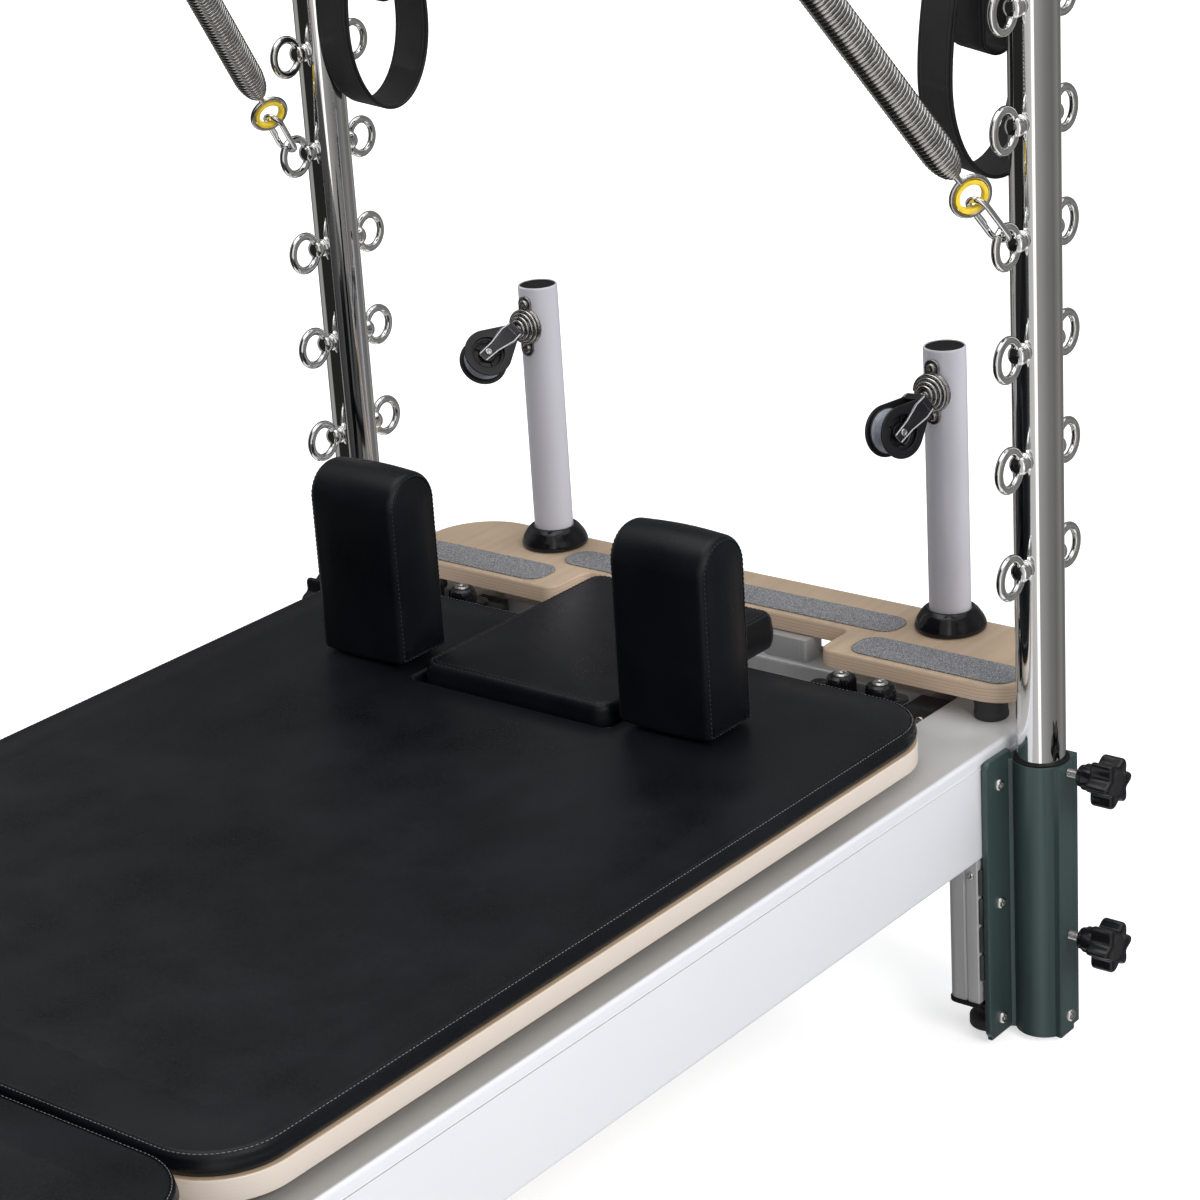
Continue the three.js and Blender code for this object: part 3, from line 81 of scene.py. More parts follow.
def make_camera():
    """The photograph's own view: a long lens on a square frame, turned by its angles about x, y and z."""
    camera = bpy.data.objects.new("camera", bpy.data.cameras.new("camera"))
    camera.data.lens = CAMERA["lens"]
    camera.data.sensor_width = CAMERA["film"]
    camera.data.clip_end = 60.0
    camera.location = CAMERA["place"]
    camera.rotation_euler = np.radians(CAMERA["turn"])
    bpy.context.scene.collection.objects.link(camera)
    bpy.context.scene.camera = camera


make_camera()


# Surfaces as grids of points

def world(points):
    """Machine millimetres to the row frame's metres: shift along x, then a thousandth."""
    return (np.asarray(points, float) - [MACHINE_CENTRE, 0.0, 0.0]) / 1000.0


def grid_faces(rows, columns, wrap_rows=False, wrap_columns=False):
    """Quads between neighbouring rows and columns of a grid, closed round where asked."""
    r = np.arange(rows if wrap_rows else rows - 1)
    c = np.arange(columns if wrap_columns else columns - 1)
    r, c = np.meshgrid(r, c, indexing="ij")
    r2, c2 = (r + 1) % rows, (c + 1) % columns
    quads = np.stack([r * columns + c, r * columns + c2, r2 * columns + c2, r2 * columns + c], -1)
    return quads.reshape(-1, 4)


def unit(v):
    """Vectors divided by their lengths."""
    v = np.asarray(v, float)
    return v / np.maximum(np.linalg.norm(v, axis=-1, keepdims=True), 1e-12)


def join(*parts):
    """Several (points, faces) surfaces as one: later faces are counted on from the earlier points."""
    points, faces, count = [], [], 0
    for p, f in parts:
        points.append(np.asarray(p, float).reshape(-1, 3))
        faces += [np.asarray(q) + count for q in f]
        count += len(points[-1])
    return np.concatenate(points), faces


def grid(points, wrap_rows=False, wrap_columns=False):
    """A (rows, columns, 3) array as a surface."""
    rows, columns = points.shape[:2]
    return points.reshape(-1, 3), [grid_faces(rows, columns, wrap_rows, wrap_columns)]


def raised(flat, heights):
    """Rows of flat points, each row with its own height as the third coordinate."""
    w = np.broadcast_to(np.asarray(heights)[:, None, None], flat.shape[:2] + (1,))
    return np.concatenate([flat, w], 2)


def capped(points):
    """Rows round a closed outline as a surface, its first and last rows filled with one face each."""
    rows, columns = points.shape[:2]
    points, faces = grid(points, wrap_columns=True)
    low = np.arange(columns)[None, ::-1]
    high = (np.arange(columns) + (rows - 1) * columns)[None]
    return points, faces + [low, high]


def circle(count, radius=1.0):
    """Points (cos t, sin t) times the radius, evenly round the circle."""
    t = np.linspace(0, TURN, count, endpoint=False)
    return radius * np.stack([np.cos(t), np.sin(t)], 1)


def basis(axis, hint=UP):
    """Two unit vectors square to the axis and to each other; the first is the hint's part across the axis."""
    axis = unit(axis)
    hint = np.asarray(hint, float)
    if abs(axis @ unit(hint)) > 0.95:
        hint = np.array([1.0, 0.0, 0.0]) if abs(axis[0]) < 0.9 else np.array([0.0, 1.0, 0.0])
    u = unit(hint - axis * (axis @ hint))
    return u, np.cross(axis, u)


def revolve(profile, centre, axis, sides=64):
    """Turned form: each profile point (radius, height) becomes a circle of that radius, so that
    point = centre + height*axis + radius*(cos t*u + sin t*v)."""
    profile = np.asarray(profile, float)
    spoke = circle(sides) @ np.stack(basis(axis))
    points = (np.asarray(centre, float) + profile[:, 1, None, None] * unit(axis)
              + profile[:, 0, None, None] * spoke[None])
    return grid(points, wrap_columns=True)


def soften(profile, radius, steps=4):
    """A profile's corners rounded: each corner becomes a quadratic curve between points
    `radius` (at most 0.45 of the run) before and after it."""
    profile = np.asarray(profile, float)
    before, here, after = profile[:-2], profile[1:-1], profile[2:]

    def nearby(other):
        run = np.linalg.norm(other - here, axis=1)
        return here + (other - here) * (np.minimum(radius, 0.45 * run) / np.maximum(run, 1e-9))[:, None]

    t = np.linspace(0, 1, steps)[None, :, None]
    curve = ((1 - t) ** 2 * nearby(before)[:, None] + 2 * t * (1 - t) * here[:, None]
             + t ** 2 * nearby(after)[:, None])
    return np.concatenate([profile[:1], curve.reshape(-1, profile.shape[1]), profile[-1:]])


def lathe(profile, softness, centre, axis, sides=64, steps=4):
    """A turned form whose profile has its corners rounded."""
    return revolve(soften(profile, softness, steps), centre, axis, sides)


def frames_along(path, closed=False):
    """Directions of a path and two cross vectors that don't twist: a fixed hint's part across each direction,
    turned back by the running sum of the twist between neighbours."""
    if closed:
        tangent = unit(np.roll(path, -1, 0) - np.roll(path, 1, 0))
    else:
        tangent = unit(np.gradient(path, axis=0))
    hint = unit((0.31, 0.52, 0.79))
    u = unit(hint - tangent * (tangent @ hint)[:, None])
    v = np.cross(tangent, u)
    a, b = tangent[:-1], tangent[1:]
    cross = np.cross(a, b)
    dot = np.sum(a * b, 1)[:, None]
    w = u[:-1]
    moved = w * dot + np.cross(cross, w) + cross * (np.sum(cross * w, 1)[:, None] / (1 + dot))
    angle = np.arctan2(np.sum(moved * v[1:], 1), np.sum(moved * u[1:], 1))
    turn = np.concatenate([[0], np.cumsum(angle)])
    c, s = np.cos(turn)[:, None], np.sin(turn)[:, None]
    return tangent, c * u + s * v, -s * u + c * v


def tube(path, radius, sides=24, closed=False, round_ends=0.0):
    """A round wire or tube along a path: point = path + radius*(cos t*u + sin t*v), with flat, closed ends.
    round_ends rolls the edge of each end over by that much."""
    path = np.asarray(path, float)
    radius = np.broadcast_to(np.asarray(radius, float), (len(path),)).copy()
    if round_ends:
        tangent = unit(np.gradient(path, axis=0))
        q = np.linspace(0, QUARTER, 6)[::-1]
        back = (round_ends * (1 - np.sin(q)))[:, None]
        less = round_ends * (1 - np.cos(q))
        first, last = path[0] + tangent[0] * back, path[-1] - tangent[-1] * back
        path = np.concatenate([first, path[1:-1], last[::-1]])
        radius = np.concatenate([radius[0] - less, radius[1:-1], (radius[-1] - less)[::-1]])
    tangent, u, v = frames_along(path, closed)
    turn = circle(sides)
    spoke = turn[None, :, :1] * u[:, None] + turn[None, :, 1:] * v[:, None]
    points = path[:, None] + radius[:, None, None] * spoke
    if closed:
        return grid(points, wrap_rows=True, wrap_columns=True)
    ends = [np.repeat(row.mean(1, keepdims=True), sides, 1) for row in (points[:1], points[-1:])]
    return grid(np.concatenate([ends[0], points, ends[1]]), wrap_columns=True)


def hoop(centre, normal, mean, wire, steps=64, sides=20):
    """A ring of wire: point = centre + spoke*(mean + wire*cos b) + normal*wire*sin b."""
    spoke = (circle(steps) @ np.stack(basis(normal)))[:, None]
    section = circle(sides, wire)[None]
    points = np.asarray(centre, float) + spoke * (mean + section[..., :1]) + unit(normal) * section[..., 1:]
    return grid(points, wrap_rows=True, wrap_columns=True)


def corner_arc(before, here, after, radius, step, least, extra=0):
    """The circle arc that rounds a corner: it leaves one run at radius / tan(half the angle) from the corner
    and turns about the point at radius / sin(half the angle) along the bisector."""
    back, on = unit(before - here), unit(after - here)
    half = np.arccos(np.clip(back @ on, -1, 1)) / 2
    middle = here + unit(back + on) * (radius / np.sin(half))
    sweep = np.pi - 2 * half
    t = np.linspace(0, 1, max(least, int(radius * sweep / step) + extra))[:, None] * sweep
    x = unit(here + back * (radius / np.tan(half)) - middle)
    y = unit(-back - x * (-back @ x))
    return middle + radius * (np.cos(t) * x + np.sin(t) * y)


def bent(corners, radii, step=4.0):
    """A path through corner points, open at its ends, with an arc of the given radius at each bend."""
    corners = np.asarray(corners, float)
    bends = [corner_arc(*three, radius, step, 6)
             for *three, radius in zip(corners[:-2], corners[1:-1], corners[2:], radii)]
    return np.concatenate([corners[:1], *bends, corners[-1:]])


def rounded(corners, step=1.5):
    """A closed flat outline, anticlockwise, from (x, y, radius) corners, each corner a circle arc."""
    corners = np.asarray(corners, float)
    flat, radii = corners[:, :2], corners[:, 2]
    arcs = [here[None] if radius <= 0 else corner_arc(before, here, after, radius, step, 5, 2)
            for before, here, after, radius in zip(np.roll(flat, 1, 0), flat, np.roll(flat, -1, 0), radii)]
    outline = np.concatenate(arcs)
    return outline if turned_area(outline) > 0 else outline[::-1]


def turned_area(outline):
    """Twice an outline's area, positive where it runs anticlockwise."""
    following = np.roll(outline, -1, 0)
    return np.sum(outline[:, 0] * following[:, 1] - following[:, 0] * outline[:, 1])


def oblong(x0, x1, y0, y1, radii, step=1.5):
    """A rectangle's outline with rounded corners: one radius, or four, anticlockwise from (x0, y0)."""
    return rounded(list(zip((x0, x1, x1, x0), (y0, y0, y1, y1), np.broadcast_to(radii, 4))), step)


def on_side(outline, side, flip=(1, -1)):
    """An outline drawn for the left side, turned over for the right one and still anticlockwise."""
    return outline if side > 0 else (outline * flip)[::-1]


def inset(outline, amount):
    """An outline moved inwards: each point goes along the mean of its two edges' inward normals, by
    amount / cos(half the turn)."""
    following = unit(np.roll(outline, -1, 0) - outline)
    leading = unit(outline - np.roll(outline, 1, 0))
    n1 = np.stack([-following[:, 1], following[:, 0]], 1)
    n0 = np.stack([-leading[:, 1], leading[:, 0]], 1)
    mean = unit(n0 + n1)
    stretch = 1.0 / np.maximum(np.sum(mean * n1, 1), 0.5)
    return outline + mean * (amount * stretch)[:, None]


AXES = {"x": np.array([[0, 1, 0], [0, 0, 1], [1, 0, 0.0]]),
        "y": np.array([[0, 0, 1], [1, 0, 0], [0, 1, 0.0]]),
        "z": np.eye(3),
        "flank": np.array([[1, 0, 0], [0, 0, 1], [0, 1, 0.0]])}


def rolled(edge, steps):
    """A rolled edge from the side to the face: the insets edge*(1 - cos q) and the depths below the face
    edge*(1 - sin q)."""
    q = np.linspace(0, QUARTER, steps + 1)
    return edge * (1 - np.cos(q)), edge * (1 - np.sin(q))


def slab(outline, low, high, edge=1.0, axes="z", origin=(0, 0, 0), steps=4):
    """A plate: the outline (u, v) pushed from low to high along w, its edges rolled over by `edge`.
    axes names or gives the directions of u, v and w."""
    directions = AXES[axes] if isinstance(axes, str) else axes
    low, high = sorted((low, high))
    insets, depths = rolled(edge, steps)
    rows = np.stack([inset(outline, i) for i in (*insets[::-1], *insets)])
    points = raised(rows, np.concatenate([low + depths[::-1], high - depths]))
    return capped(points @ directions + np.asarray(origin, float))


def button_screw(centre, axis, radius, height, socket=0.45):
    """A round-headed screw: dome from the seat to its top, with a round-cornered socket sunk in it."""
    sunk = radius * socket
    q = np.linspace(0, QUARTER, 8)
    dome = np.stack([sunk * 1.25 + (radius - sunk * 1.25) * np.cos(q), height * np.sin(q)], 1)
    well = [[sunk, height - 0.15], [sunk * 0.92, height * 0.35], [0, height * 0.3]]
    return revolve(np.concatenate([[[0, 0], [radius, 0]], dome, well]), centre, axis, 28)


def finish_mesh(mesh, angle=40):
    """Merges doubles, drops empty faces, turns the normals outward and smooths by angle."""
    work = bmesh.new()
    work.from_mesh(mesh)
    bmesh.ops.remove_doubles(work, verts=work.verts, dist=2e-6)
    bmesh.ops.dissolve_degenerate(work, edges=work.edges, dist=1e-7)
    bmesh.ops.recalc_face_normals(work, faces=work.faces)
    work.to_mesh(mesh)
    work.free()
    mesh.polygons.foreach_set("use_smooth", np.ones(len(mesh.polygons), bool))
    if angle < 180:
        mesh.set_sharp_from_angle(angle=np.radians(angle))
    mesh.update()


def new_mesh(name, surface):
    """A mesh of a surface's points, turned to metres, and its faces."""
    points, faces = surface
    mesh = bpy.data.meshes.new(name)
    loops = [tuple(f) for block in faces for f in np.asarray(block).tolist()]
    mesh.from_pydata(world(points).tolist(), [], loops)
    return mesh


def new_object(name, mesh):
    """An object at the origin that shows the mesh."""
    thing = bpy.data.objects.new(name, mesh)
    bpy.context.scene.collection.objects.link(thing)
    return thing


def piece(name, surface, material, body, replaces=None, angle=40, uv=None):
    """One object of the dressed part: points to metres, doubles merged, normals outward, smooth by angle,
    riding on its CAD body and standing for the CAD node it replaces."""
    mesh = new_mesh(name, surface)
    if uv is not None:
        corners = np.empty(len(mesh.loops), int)
        mesh.loops.foreach_get("vertex_index", corners)
        mesh.uv_layers.new(name="band").data.foreach_set("uv", uv[corners].ravel())
    finish_mesh(mesh, angle)
    mesh.materials.append(material)
    thing = new_object(name, mesh)
    if body:
        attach(thing, body)
    if replaces:
        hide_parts(replaces)
    return thing


# Materials: every one is built of nodes in object space, where one unit is a metre

SOCKETS = {"specular": "Specular IOR Level", "coat": "Coat Weight", "coat_rough": "Coat Roughness",
           "sheen": "Sheen Weight", "sheen_rough": "Sheen Roughness"}


class Paint:
    """Short hand for one material's nodes. The words given past metallic name shader sockets."""

    def __init__(self, name, colour, roughness, metallic=0.0, **sockets):
        self.material = bpy.data.materials.new(name)
        self.material.use_nodes = True
        self.tree = self.material.node_tree
        self.tree.nodes.clear()
        self.out = self.tree.nodes.new("ShaderNodeOutputMaterial")
        self.shader = self.tree.nodes.new("ShaderNodeBsdfPrincipled")
        self.link(self.shader.outputs[0], self.out.inputs[0])
        self.shader.inputs["Base Color"].default_value = (*colour, 1)
        self.shader.inputs["Roughness"].default_value = roughness
        self.shader.inputs["Metallic"].default_value = metallic
        for key, value in sockets.items():
            self.shader.inputs[SOCKETS[key]].default_value = value
        self.material.diffuse_color = (*colour, 1)
        self.object = self.node("ShaderNodeTexCoord").outputs["Object"]

    def node(self, kind, **values):
        """A new node with these settings."""
        made = self.tree.nodes.new(kind)
        for key, value in values.items():
            setattr(made, key, value)
        return made

    def link(self, a, b):
        """Output a feeds input b."""
        self.tree.links.new(a, b)

    def put(self, value, socket):
        """A number or an output as the socket's value."""
        if isinstance(value, bpy.types.NodeSocket):
            self.link(value, socket)
        else:
            socket.default_value = value

    def math(self, operation, a, b=0.0):
        """The operation's result for a and b."""
        made = self.node("ShaderNodeMath", operation=operation)
        self.put(a, made.inputs[0])
        self.put(b, made.inputs[1])
        return made.outputs[0]

    def stretch(self, scale, turn=(0, 0, 0)):
        """Object coordinates scaled along each axis, so that noise on them gets grain or brushing."""
        made = self.node("ShaderNodeMapping")
        self.link(self.object, made.inputs["Vector"])
        made.inputs["Scale"].default_value = scale
        made.inputs["Rotation"].default_value = turn
        return made.outputs[0]

    def noise(self, scale=1.0, vector=None, detail=3.0, rough=0.5, warp=0.0):
        """Noise from 0 to 1, its cells about one over scale metres wide."""
        made = self.node("ShaderNodeTexNoise")
        self.link(vector or self.object, made.inputs["Vector"])
        made.inputs["Scale"].default_value = scale
        made.inputs["Detail"].default_value = detail
        made.inputs["Roughness"].default_value = rough
        made.inputs["Distortion"].default_value = warp
        return made.outputs["Fac"]

    def cells(self, scale, feature="F1"):
        """Distance within cells scattered about one over scale metres apart."""
        made = self.node("ShaderNodeTexVoronoi", feature=feature)
        self.link(self.object, made.inputs["Vector"])
        made.inputs["Scale"].default_value = scale
        return made.outputs["Distance"]

    def part_of(self, vector, axis):
        """A vector's x, y or z."""
        made = self.node("ShaderNodeSeparateXYZ")
        self.link(vector, made.inputs[0])
        return made.outputs["XYZ".index(axis)]

    def coordinate(self, axis):
        """The object's own x, y or z in metres."""
        return self.part_of(self.object, axis)

    def normal(self, axis):
        """The x, y or z of the surface's direction."""
        return self.part_of(self.node("ShaderNodeNewGeometry").outputs["Normal"], axis)

    def between(self, value, low, high, out_low=0.0, out_high=1.0):
        """The value's way from low to high as a share, given out from out_low to out_high."""
        made = self.node("ShaderNodeMapRange", clamp=True)
        self.link(value, made.inputs["Value"])
        ends = {"From Min": low, "From Max": high, "To Min": out_low, "To Max": out_high}
        for socket, number in ends.items():
            self.put(number, made.inputs[socket])
        return made.outputs[0]

    def ramp(self, value, stops):
        """The value as a colour that passes through the (place, colour) stops."""
        made = self.node("ShaderNodeValToRGB")
        self.link(value, made.inputs[0])
        elements = made.color_ramp.elements
        while len(elements) < len(stops):
            elements.new(0.5)
        for element, (place, colour) in zip(elements, stops):
            element.position = place
            element.color = (*colour, 1)
        return made.outputs[0]

    def tones(self, value, low, high, low_in=0.3, high_in=0.7):
        """The value as a colour between two tones, and the shader's base colour."""
        self.colour(self.ramp(value, [(low_in, low), (high_in, high)]))
        return self

    def mix(self, share, a, b):
        """Colour a passing into colour b by the share."""
        made = self.node("ShaderNodeMix", data_type="RGBA")
        self.put(share, made.inputs[0])
        for value, socket in ((a, made.inputs[6]), (b, made.inputs[7])):
            if isinstance(value, tuple):
                value = (*value, 1)
            self.put(value, socket)
        return made.outputs[2]

    def colour(self, value):
        """The value as the shader's base colour."""
        self.link(value, self.shader.inputs["Base Color"])
        return self

    def rough(self, value, low, high, low_in=0.3, high_in=0.7):
        """The value as a roughness between low and high."""
        self.link(self.between(value, low_in, high_in, low, high), self.shader.inputs["Roughness"])
        return self

    def bump(self, height, strength=0.3, distance=0.0005):
        """Adds this height, in metres times distance, under any earlier bump."""
        made = self.node("ShaderNodeBump")
        made.inputs["Strength"].default_value = strength
        made.inputs["Distance"].default_value = distance
        self.link(height, made.inputs["Height"])
        last = self.shader.inputs["Normal"]
        if last.is_linked:
            self.link(last.links[0].from_socket, made.inputs["Normal"])
        self.link(made.outputs[0], last)
        return self


def paint_chrome():
    """Polished chrome: broad smudges and fine upright drawing marks in its gloss."""
    p = Paint("chrome_tube", (0.80, 0.80, 0.80), 0.045, 1.0)
    smudge = p.noise(9.0, detail=4.0)
    fine = p.noise(1.0, p.stretch((700, 700, 30)), 2.0)
    p.rough(p.mix(0.35, smudge, fine), 0.03, 0.085)
    p.tones(smudge, (0.76, 0.765, 0.77), (0.84, 0.84, 0.835))
    return p.material


def paint_powder(name, low, high, top):
    """Powder coat with an orange peel between two tones; faces that look up take a painted shade, dark
    towards the foot end and paling towards the head end."""
    p = Paint(name, low, 0.36, 0.0, coat=0.25, coat_rough=0.22)
    cloud = p.noise(3.0, detail=3.0)
    peel = p.noise(900.0, detail=1.0)
    white = p.ramp(cloud, [(0.3, low), (0.7, high)])
    # Painted shade: faces that look up take the dark tone top, which pales to light grey towards the head
    # end; it stands in for the shade on the beams' tops.
    painted_top_shade = p.mix(p.between(p.coordinate("X"), 0.85, 1.12), top, (0.66, 0.655, 0.65))
    p.colour(p.mix(p.between(p.normal("Z"), 0.80, 0.97), white, painted_top_shade))
    p.rough(peel, 0.30, 0.42)
    p.bump(peel, 0.12, 0.0002)
    return p.material


PLY_STEP, PLY_WOBBLE = 0.0029, 0.0006


def paint_ply(name, pale):
    """Birch plywood: face grain where the surface looks up or down, thin plies where it looks sideways.
    pale, from 0 to 1, fades the plies towards a bare light edge."""
    p = Paint(name, (0.46, 0.33, 0.21), 0.42, 0.0, coat=0.2, coat_rough=0.3)
    long_grain = p.noise(1.0, p.stretch((5.0, 130.0, 130.0)), 5.0, 0.55, 0.4)
    fibre = p.noise(1.0, p.stretch((28.0, 1500.0, 900.0)), 2.0, 0.6)
    cloud = p.noise(2.2, p.stretch((1.0, 3.5, 1.0)), 3.0)
    face = p.ramp(long_grain, [(0.30, (0.375, 0.262, 0.163)), (0.52, (0.455, 0.327, 0.210)),
                               (0.72, (0.515, 0.380, 0.250))])
    face = p.mix(p.between(cloud, 0.3, 0.7, 0.0, 0.35), face, (0.40, 0.285, 0.185))
    face = p.mix(p.between(fibre, 0.55, 0.8, 0.0, 0.35), face, (0.30, 0.20, 0.12))
    face = p.mix(0.22, face, (0.54, 0.45, 0.37))
    wobble = p.math("MULTIPLY", p.noise(30.0, detail=2.0), PLY_WOBBLE)
    layer = p.math("MULTIPLY", p.math("ADD", p.coordinate("Z"), wobble), 1.0 / PLY_STEP)
    saw = p.math("PINGPONG", layer, 0.5)
    plies = p.ramp(saw, [(0.05, (0.44, 0.31, 0.215)), (0.16, (0.60, 0.455, 0.335)),
                         (0.36, (0.64, 0.49, 0.365)), (0.46, (0.53, 0.39, 0.28))])
    speck = p.noise(1.0, p.stretch((240.0, 240.0, 1600.0)), 2.0)
    plies = p.mix(p.between(speck, 0.55, 0.75, 0.0, 0.3), plies, (0.46, 0.33, 0.23))
    plies = p.mix(pale, plies, (0.610, 0.550, 0.495))
    up = p.between(p.math("ABSOLUTE", p.normal("Z")), 0.55, 0.85)
    p.colour(p.mix(up, plies, face))
    p.rough(long_grain, 0.36, 0.5)
    p.bump(fibre, 0.15, 0.0002)
    return p.material


def paint_vinyl():
    """Black leathercloth: pores, fine wrinkles and a broad drift of tone."""
    p = Paint("black_vinyl", (0.0045, 0.0048, 0.0062), 0.40, specular=0.22)
    pore = p.cells(1050.0, "DISTANCE_TO_EDGE")
    wrinkle = p.noise(420.0, detail=3.0, rough=0.6)
    broad = p.noise(14.0, detail=2.0)
    p.tones(broad, (0.0032, 0.0037, 0.0052), (0.0052, 0.0060, 0.0080))
    p.rough(p.mix(0.5, broad, wrinkle), 0.24, 0.42)
    p.bump(wrinkle, 0.16, 0.00025)
    p.bump(p.between(pore, 0.0, 0.16), 0.25, 0.00012)
    return p.material


def paint_stitch(name, low, high, roughness):
    """Twisted thread: its tone and its bump follow one fine noise."""
    p = Paint(name, high, roughness)
    twist = p.noise(2600.0, detail=1.0)
    p.tones(twist, low, high, 0.35, 0.65)
    p.bump(twist, 0.4, 0.0001)
    return p.material


def paint_green():
    """Anodised extrusion: fine lines along its height."""
    p = Paint("green_anodised", (0.055, 0.105, 0.10), 0.36, 0.35)
    lines = p.noise(1.0, p.stretch((2600.0, 2600.0, 6.0)), 2.0, 0.6)
    cloud = p.noise(12.0, p.stretch((1.0, 1.0, 0.3)), 2.0)
    p.tones(p.mix(0.45, lines, cloud), (0.030, 0.050, 0.051), (0.056, 0.088, 0.088))
    p.rough(lines, 0.28, 0.44)
    p.bump(lines, 0.25, 0.0002)
    return p.material


def paint_grip():
    """Gritty strip: dark, grey and light specks over small cells."""
    p = Paint("grip_strip", (0.25, 0.25, 0.27), 0.92)
    speck = p.noise(1100.0, detail=2.0, rough=0.7)
    grit = p.cells(1000.0)
    p.colour(p.ramp(speck, [(0.36, (0.06, 0.06, 0.065)), (0.47, (0.15, 0.15, 0.158)),
                            (0.56, (0.225, 0.225, 0.235)), (0.66, (0.44, 0.44, 0.45))]))
    p.bump(grit, 0.7, 0.0004)
    return p.material


def paint_plain(name, colour, metallic, cloud, low, high, rough, bump=None, specular=0.5):
    """A finish with a drift of tone and gloss: cloud gives that noise's scale and detail, rough the least and
    most roughness, and bump a finer noise's scale and detail and the bump's strength and depth."""
    p = Paint(name, colour, sum(rough) / 2, metallic, specular=specular)
    scale, detail = cloud
    drift = p.noise(scale, detail=detail)
    p.tones(drift, low, high)
    p.rough(drift, *rough)
    if bump:
        scale, detail, strength, depth = bump
        p.bump(p.noise(scale, detail=detail), strength, depth)
    return p.material


def paint_block_black():
    """Moulded black of the pulley blocks and cleats: gloss and bump follow one fine grain."""
    p = Paint("block_black", (0.028, 0.029, 0.033), 0.42, specular=0.32)
    grain = p.noise(2200.0, detail=1.0)
    p.tones(p.noise(60.0, detail=3.0), (0.004, 0.004, 0.005), (0.009, 0.009, 0.011))
    p.rough(grain, 0.36, 0.5)
    p.bump(grain, 0.2, 0.0001)
    return p.material


def paint_cap():
    """Matt moulded caps on the post tops."""
    p = Paint("matt_cap", (0.016, 0.016, 0.018), 0.62, specular=0.16)
    grain = p.noise(1700.0, detail=2.0)
    p.tones(grain, (0.003, 0.003, 0.003), (0.007, 0.007, 0.007), 0.35, 0.65)
    p.bump(grain, 0.3, 0.0001)
    return p.material


def paint_rubber():
    """Rubber with a dusty bloom between two tones, and a fine grain."""
    p = Paint("black_rubber", (0.018, 0.018, 0.019), 0.78)
    dust = p.noise(45.0, detail=5.0, rough=0.65)
    p.tones(dust, (0.013, 0.013, 0.014), (0.036, 0.036, 0.038), 0.35, 0.75)
    p.rough(dust, 0.68, 0.86)
    p.bump(p.noise(1500.0, detail=2.0), 0.35, 0.0002)
    return p.material


def paint_strap_metal():
    """Satin dark plate whose edges carry a painted highlight."""
    p = Paint("block_plate", (0.060, 0.060, 0.066), 0.36, 0.6)
    cloud = p.noise(90.0, detail=3.0)
    highlight_bevel = p.node("ShaderNodeBevel", samples=4)
    highlight_bevel.inputs["Radius"].default_value = 0.0007
    edge = p.node("ShaderNodeVectorMath", operation="DOT_PRODUCT")
    p.link(highlight_bevel.outputs[0], edge.inputs[0])
    p.link(p.node("ShaderNodeNewGeometry").outputs["Normal"], edge.inputs[1])
    dull = p.ramp(cloud, [(0.3, (0.018, 0.018, 0.020)), (0.7, (0.032, 0.032, 0.036))])
    # Painted highlight: the plate's edges, where the bevel normal leaves the surface normal, go near white.
    p.colour(p.mix(p.between(edge.outputs["Value"], 0.985, 0.93), dull, (0.80, 0.80, 0.82)))
    p.rough(cloud, 0.30, 0.42)
    return p.material


def paint_leg():
    """Grey anodised extrusion with faint lines along its height."""
    p = Paint("grey_aluminium", (0.30, 0.30, 0.30), 0.40, 0.25)
    lines = p.noise(1.0, p.stretch((1800.0, 1800.0, 8.0)), 2.0)
    p.tones(lines, (0.33, 0.33, 0.335), (0.41, 0.41, 0.41))
    p.rough(lines, 0.34, 0.48)
    return p.material


WEAVE, WEB_HALF, SEWN_IN = (0.0011, 0.0016), 0.025, 0.0055


def paint_webbing():
    """Woven satin band on the surface's own UV metres: the weave is a sine across times a sine along it, and
    a sewn line runs inside each edge."""
    p = Paint("webbing", (0.013, 0.013, 0.015), 0.5, specular=0.3, sheen=0.05, sheen_rough=0.35)
    uv = p.node("ShaderNodeTexCoord").outputs["UV"]
    across, along = p.part_of(uv, "X"), p.part_of(uv, "Y")
    wave_across = p.math("SINE", p.math("MULTIPLY", across, TURN / WEAVE[0]))
    wave_along = p.math("SINE", p.math("MULTIPLY", along, TURN / WEAVE[1]))
    weave = p.math("MULTIPLY", wave_across, wave_along)
    cloud = p.noise(35.0, detail=3.0)
    p.tones(cloud, (0.0035, 0.0035, 0.0045), (0.0075, 0.0078, 0.0095))
    p.rough(cloud, 0.40, 0.58)
    edge = p.math("PINGPONG", across, WEB_HALF)
    sewn = p.between(p.math("ABSOLUTE", p.math("SUBTRACT", edge, SEWN_IN)), 0.0005, 0.0011)
    p.bump(sewn, 0.5, 0.0004)
    p.bump(p.between(weave, -1.0, 1.0), 0.35, 0.00018)
    p.bump(p.noise(900.0, detail=2.0), 0.2, 0.0002)
    return p.material


# The first tone here is a painted shade for the beams' upward faces.
BEAM_TOP_PAINTED_SHADE, POST_SHADED_TONE = (0.28, 0.272, 0.262), (0.53, 0.52, 0.57)
powder = paint_powder("white_powder", (0.645, 0.655, 0.69), (0.675, 0.682, 0.712), BEAM_TOP_PAINTED_SHADE)
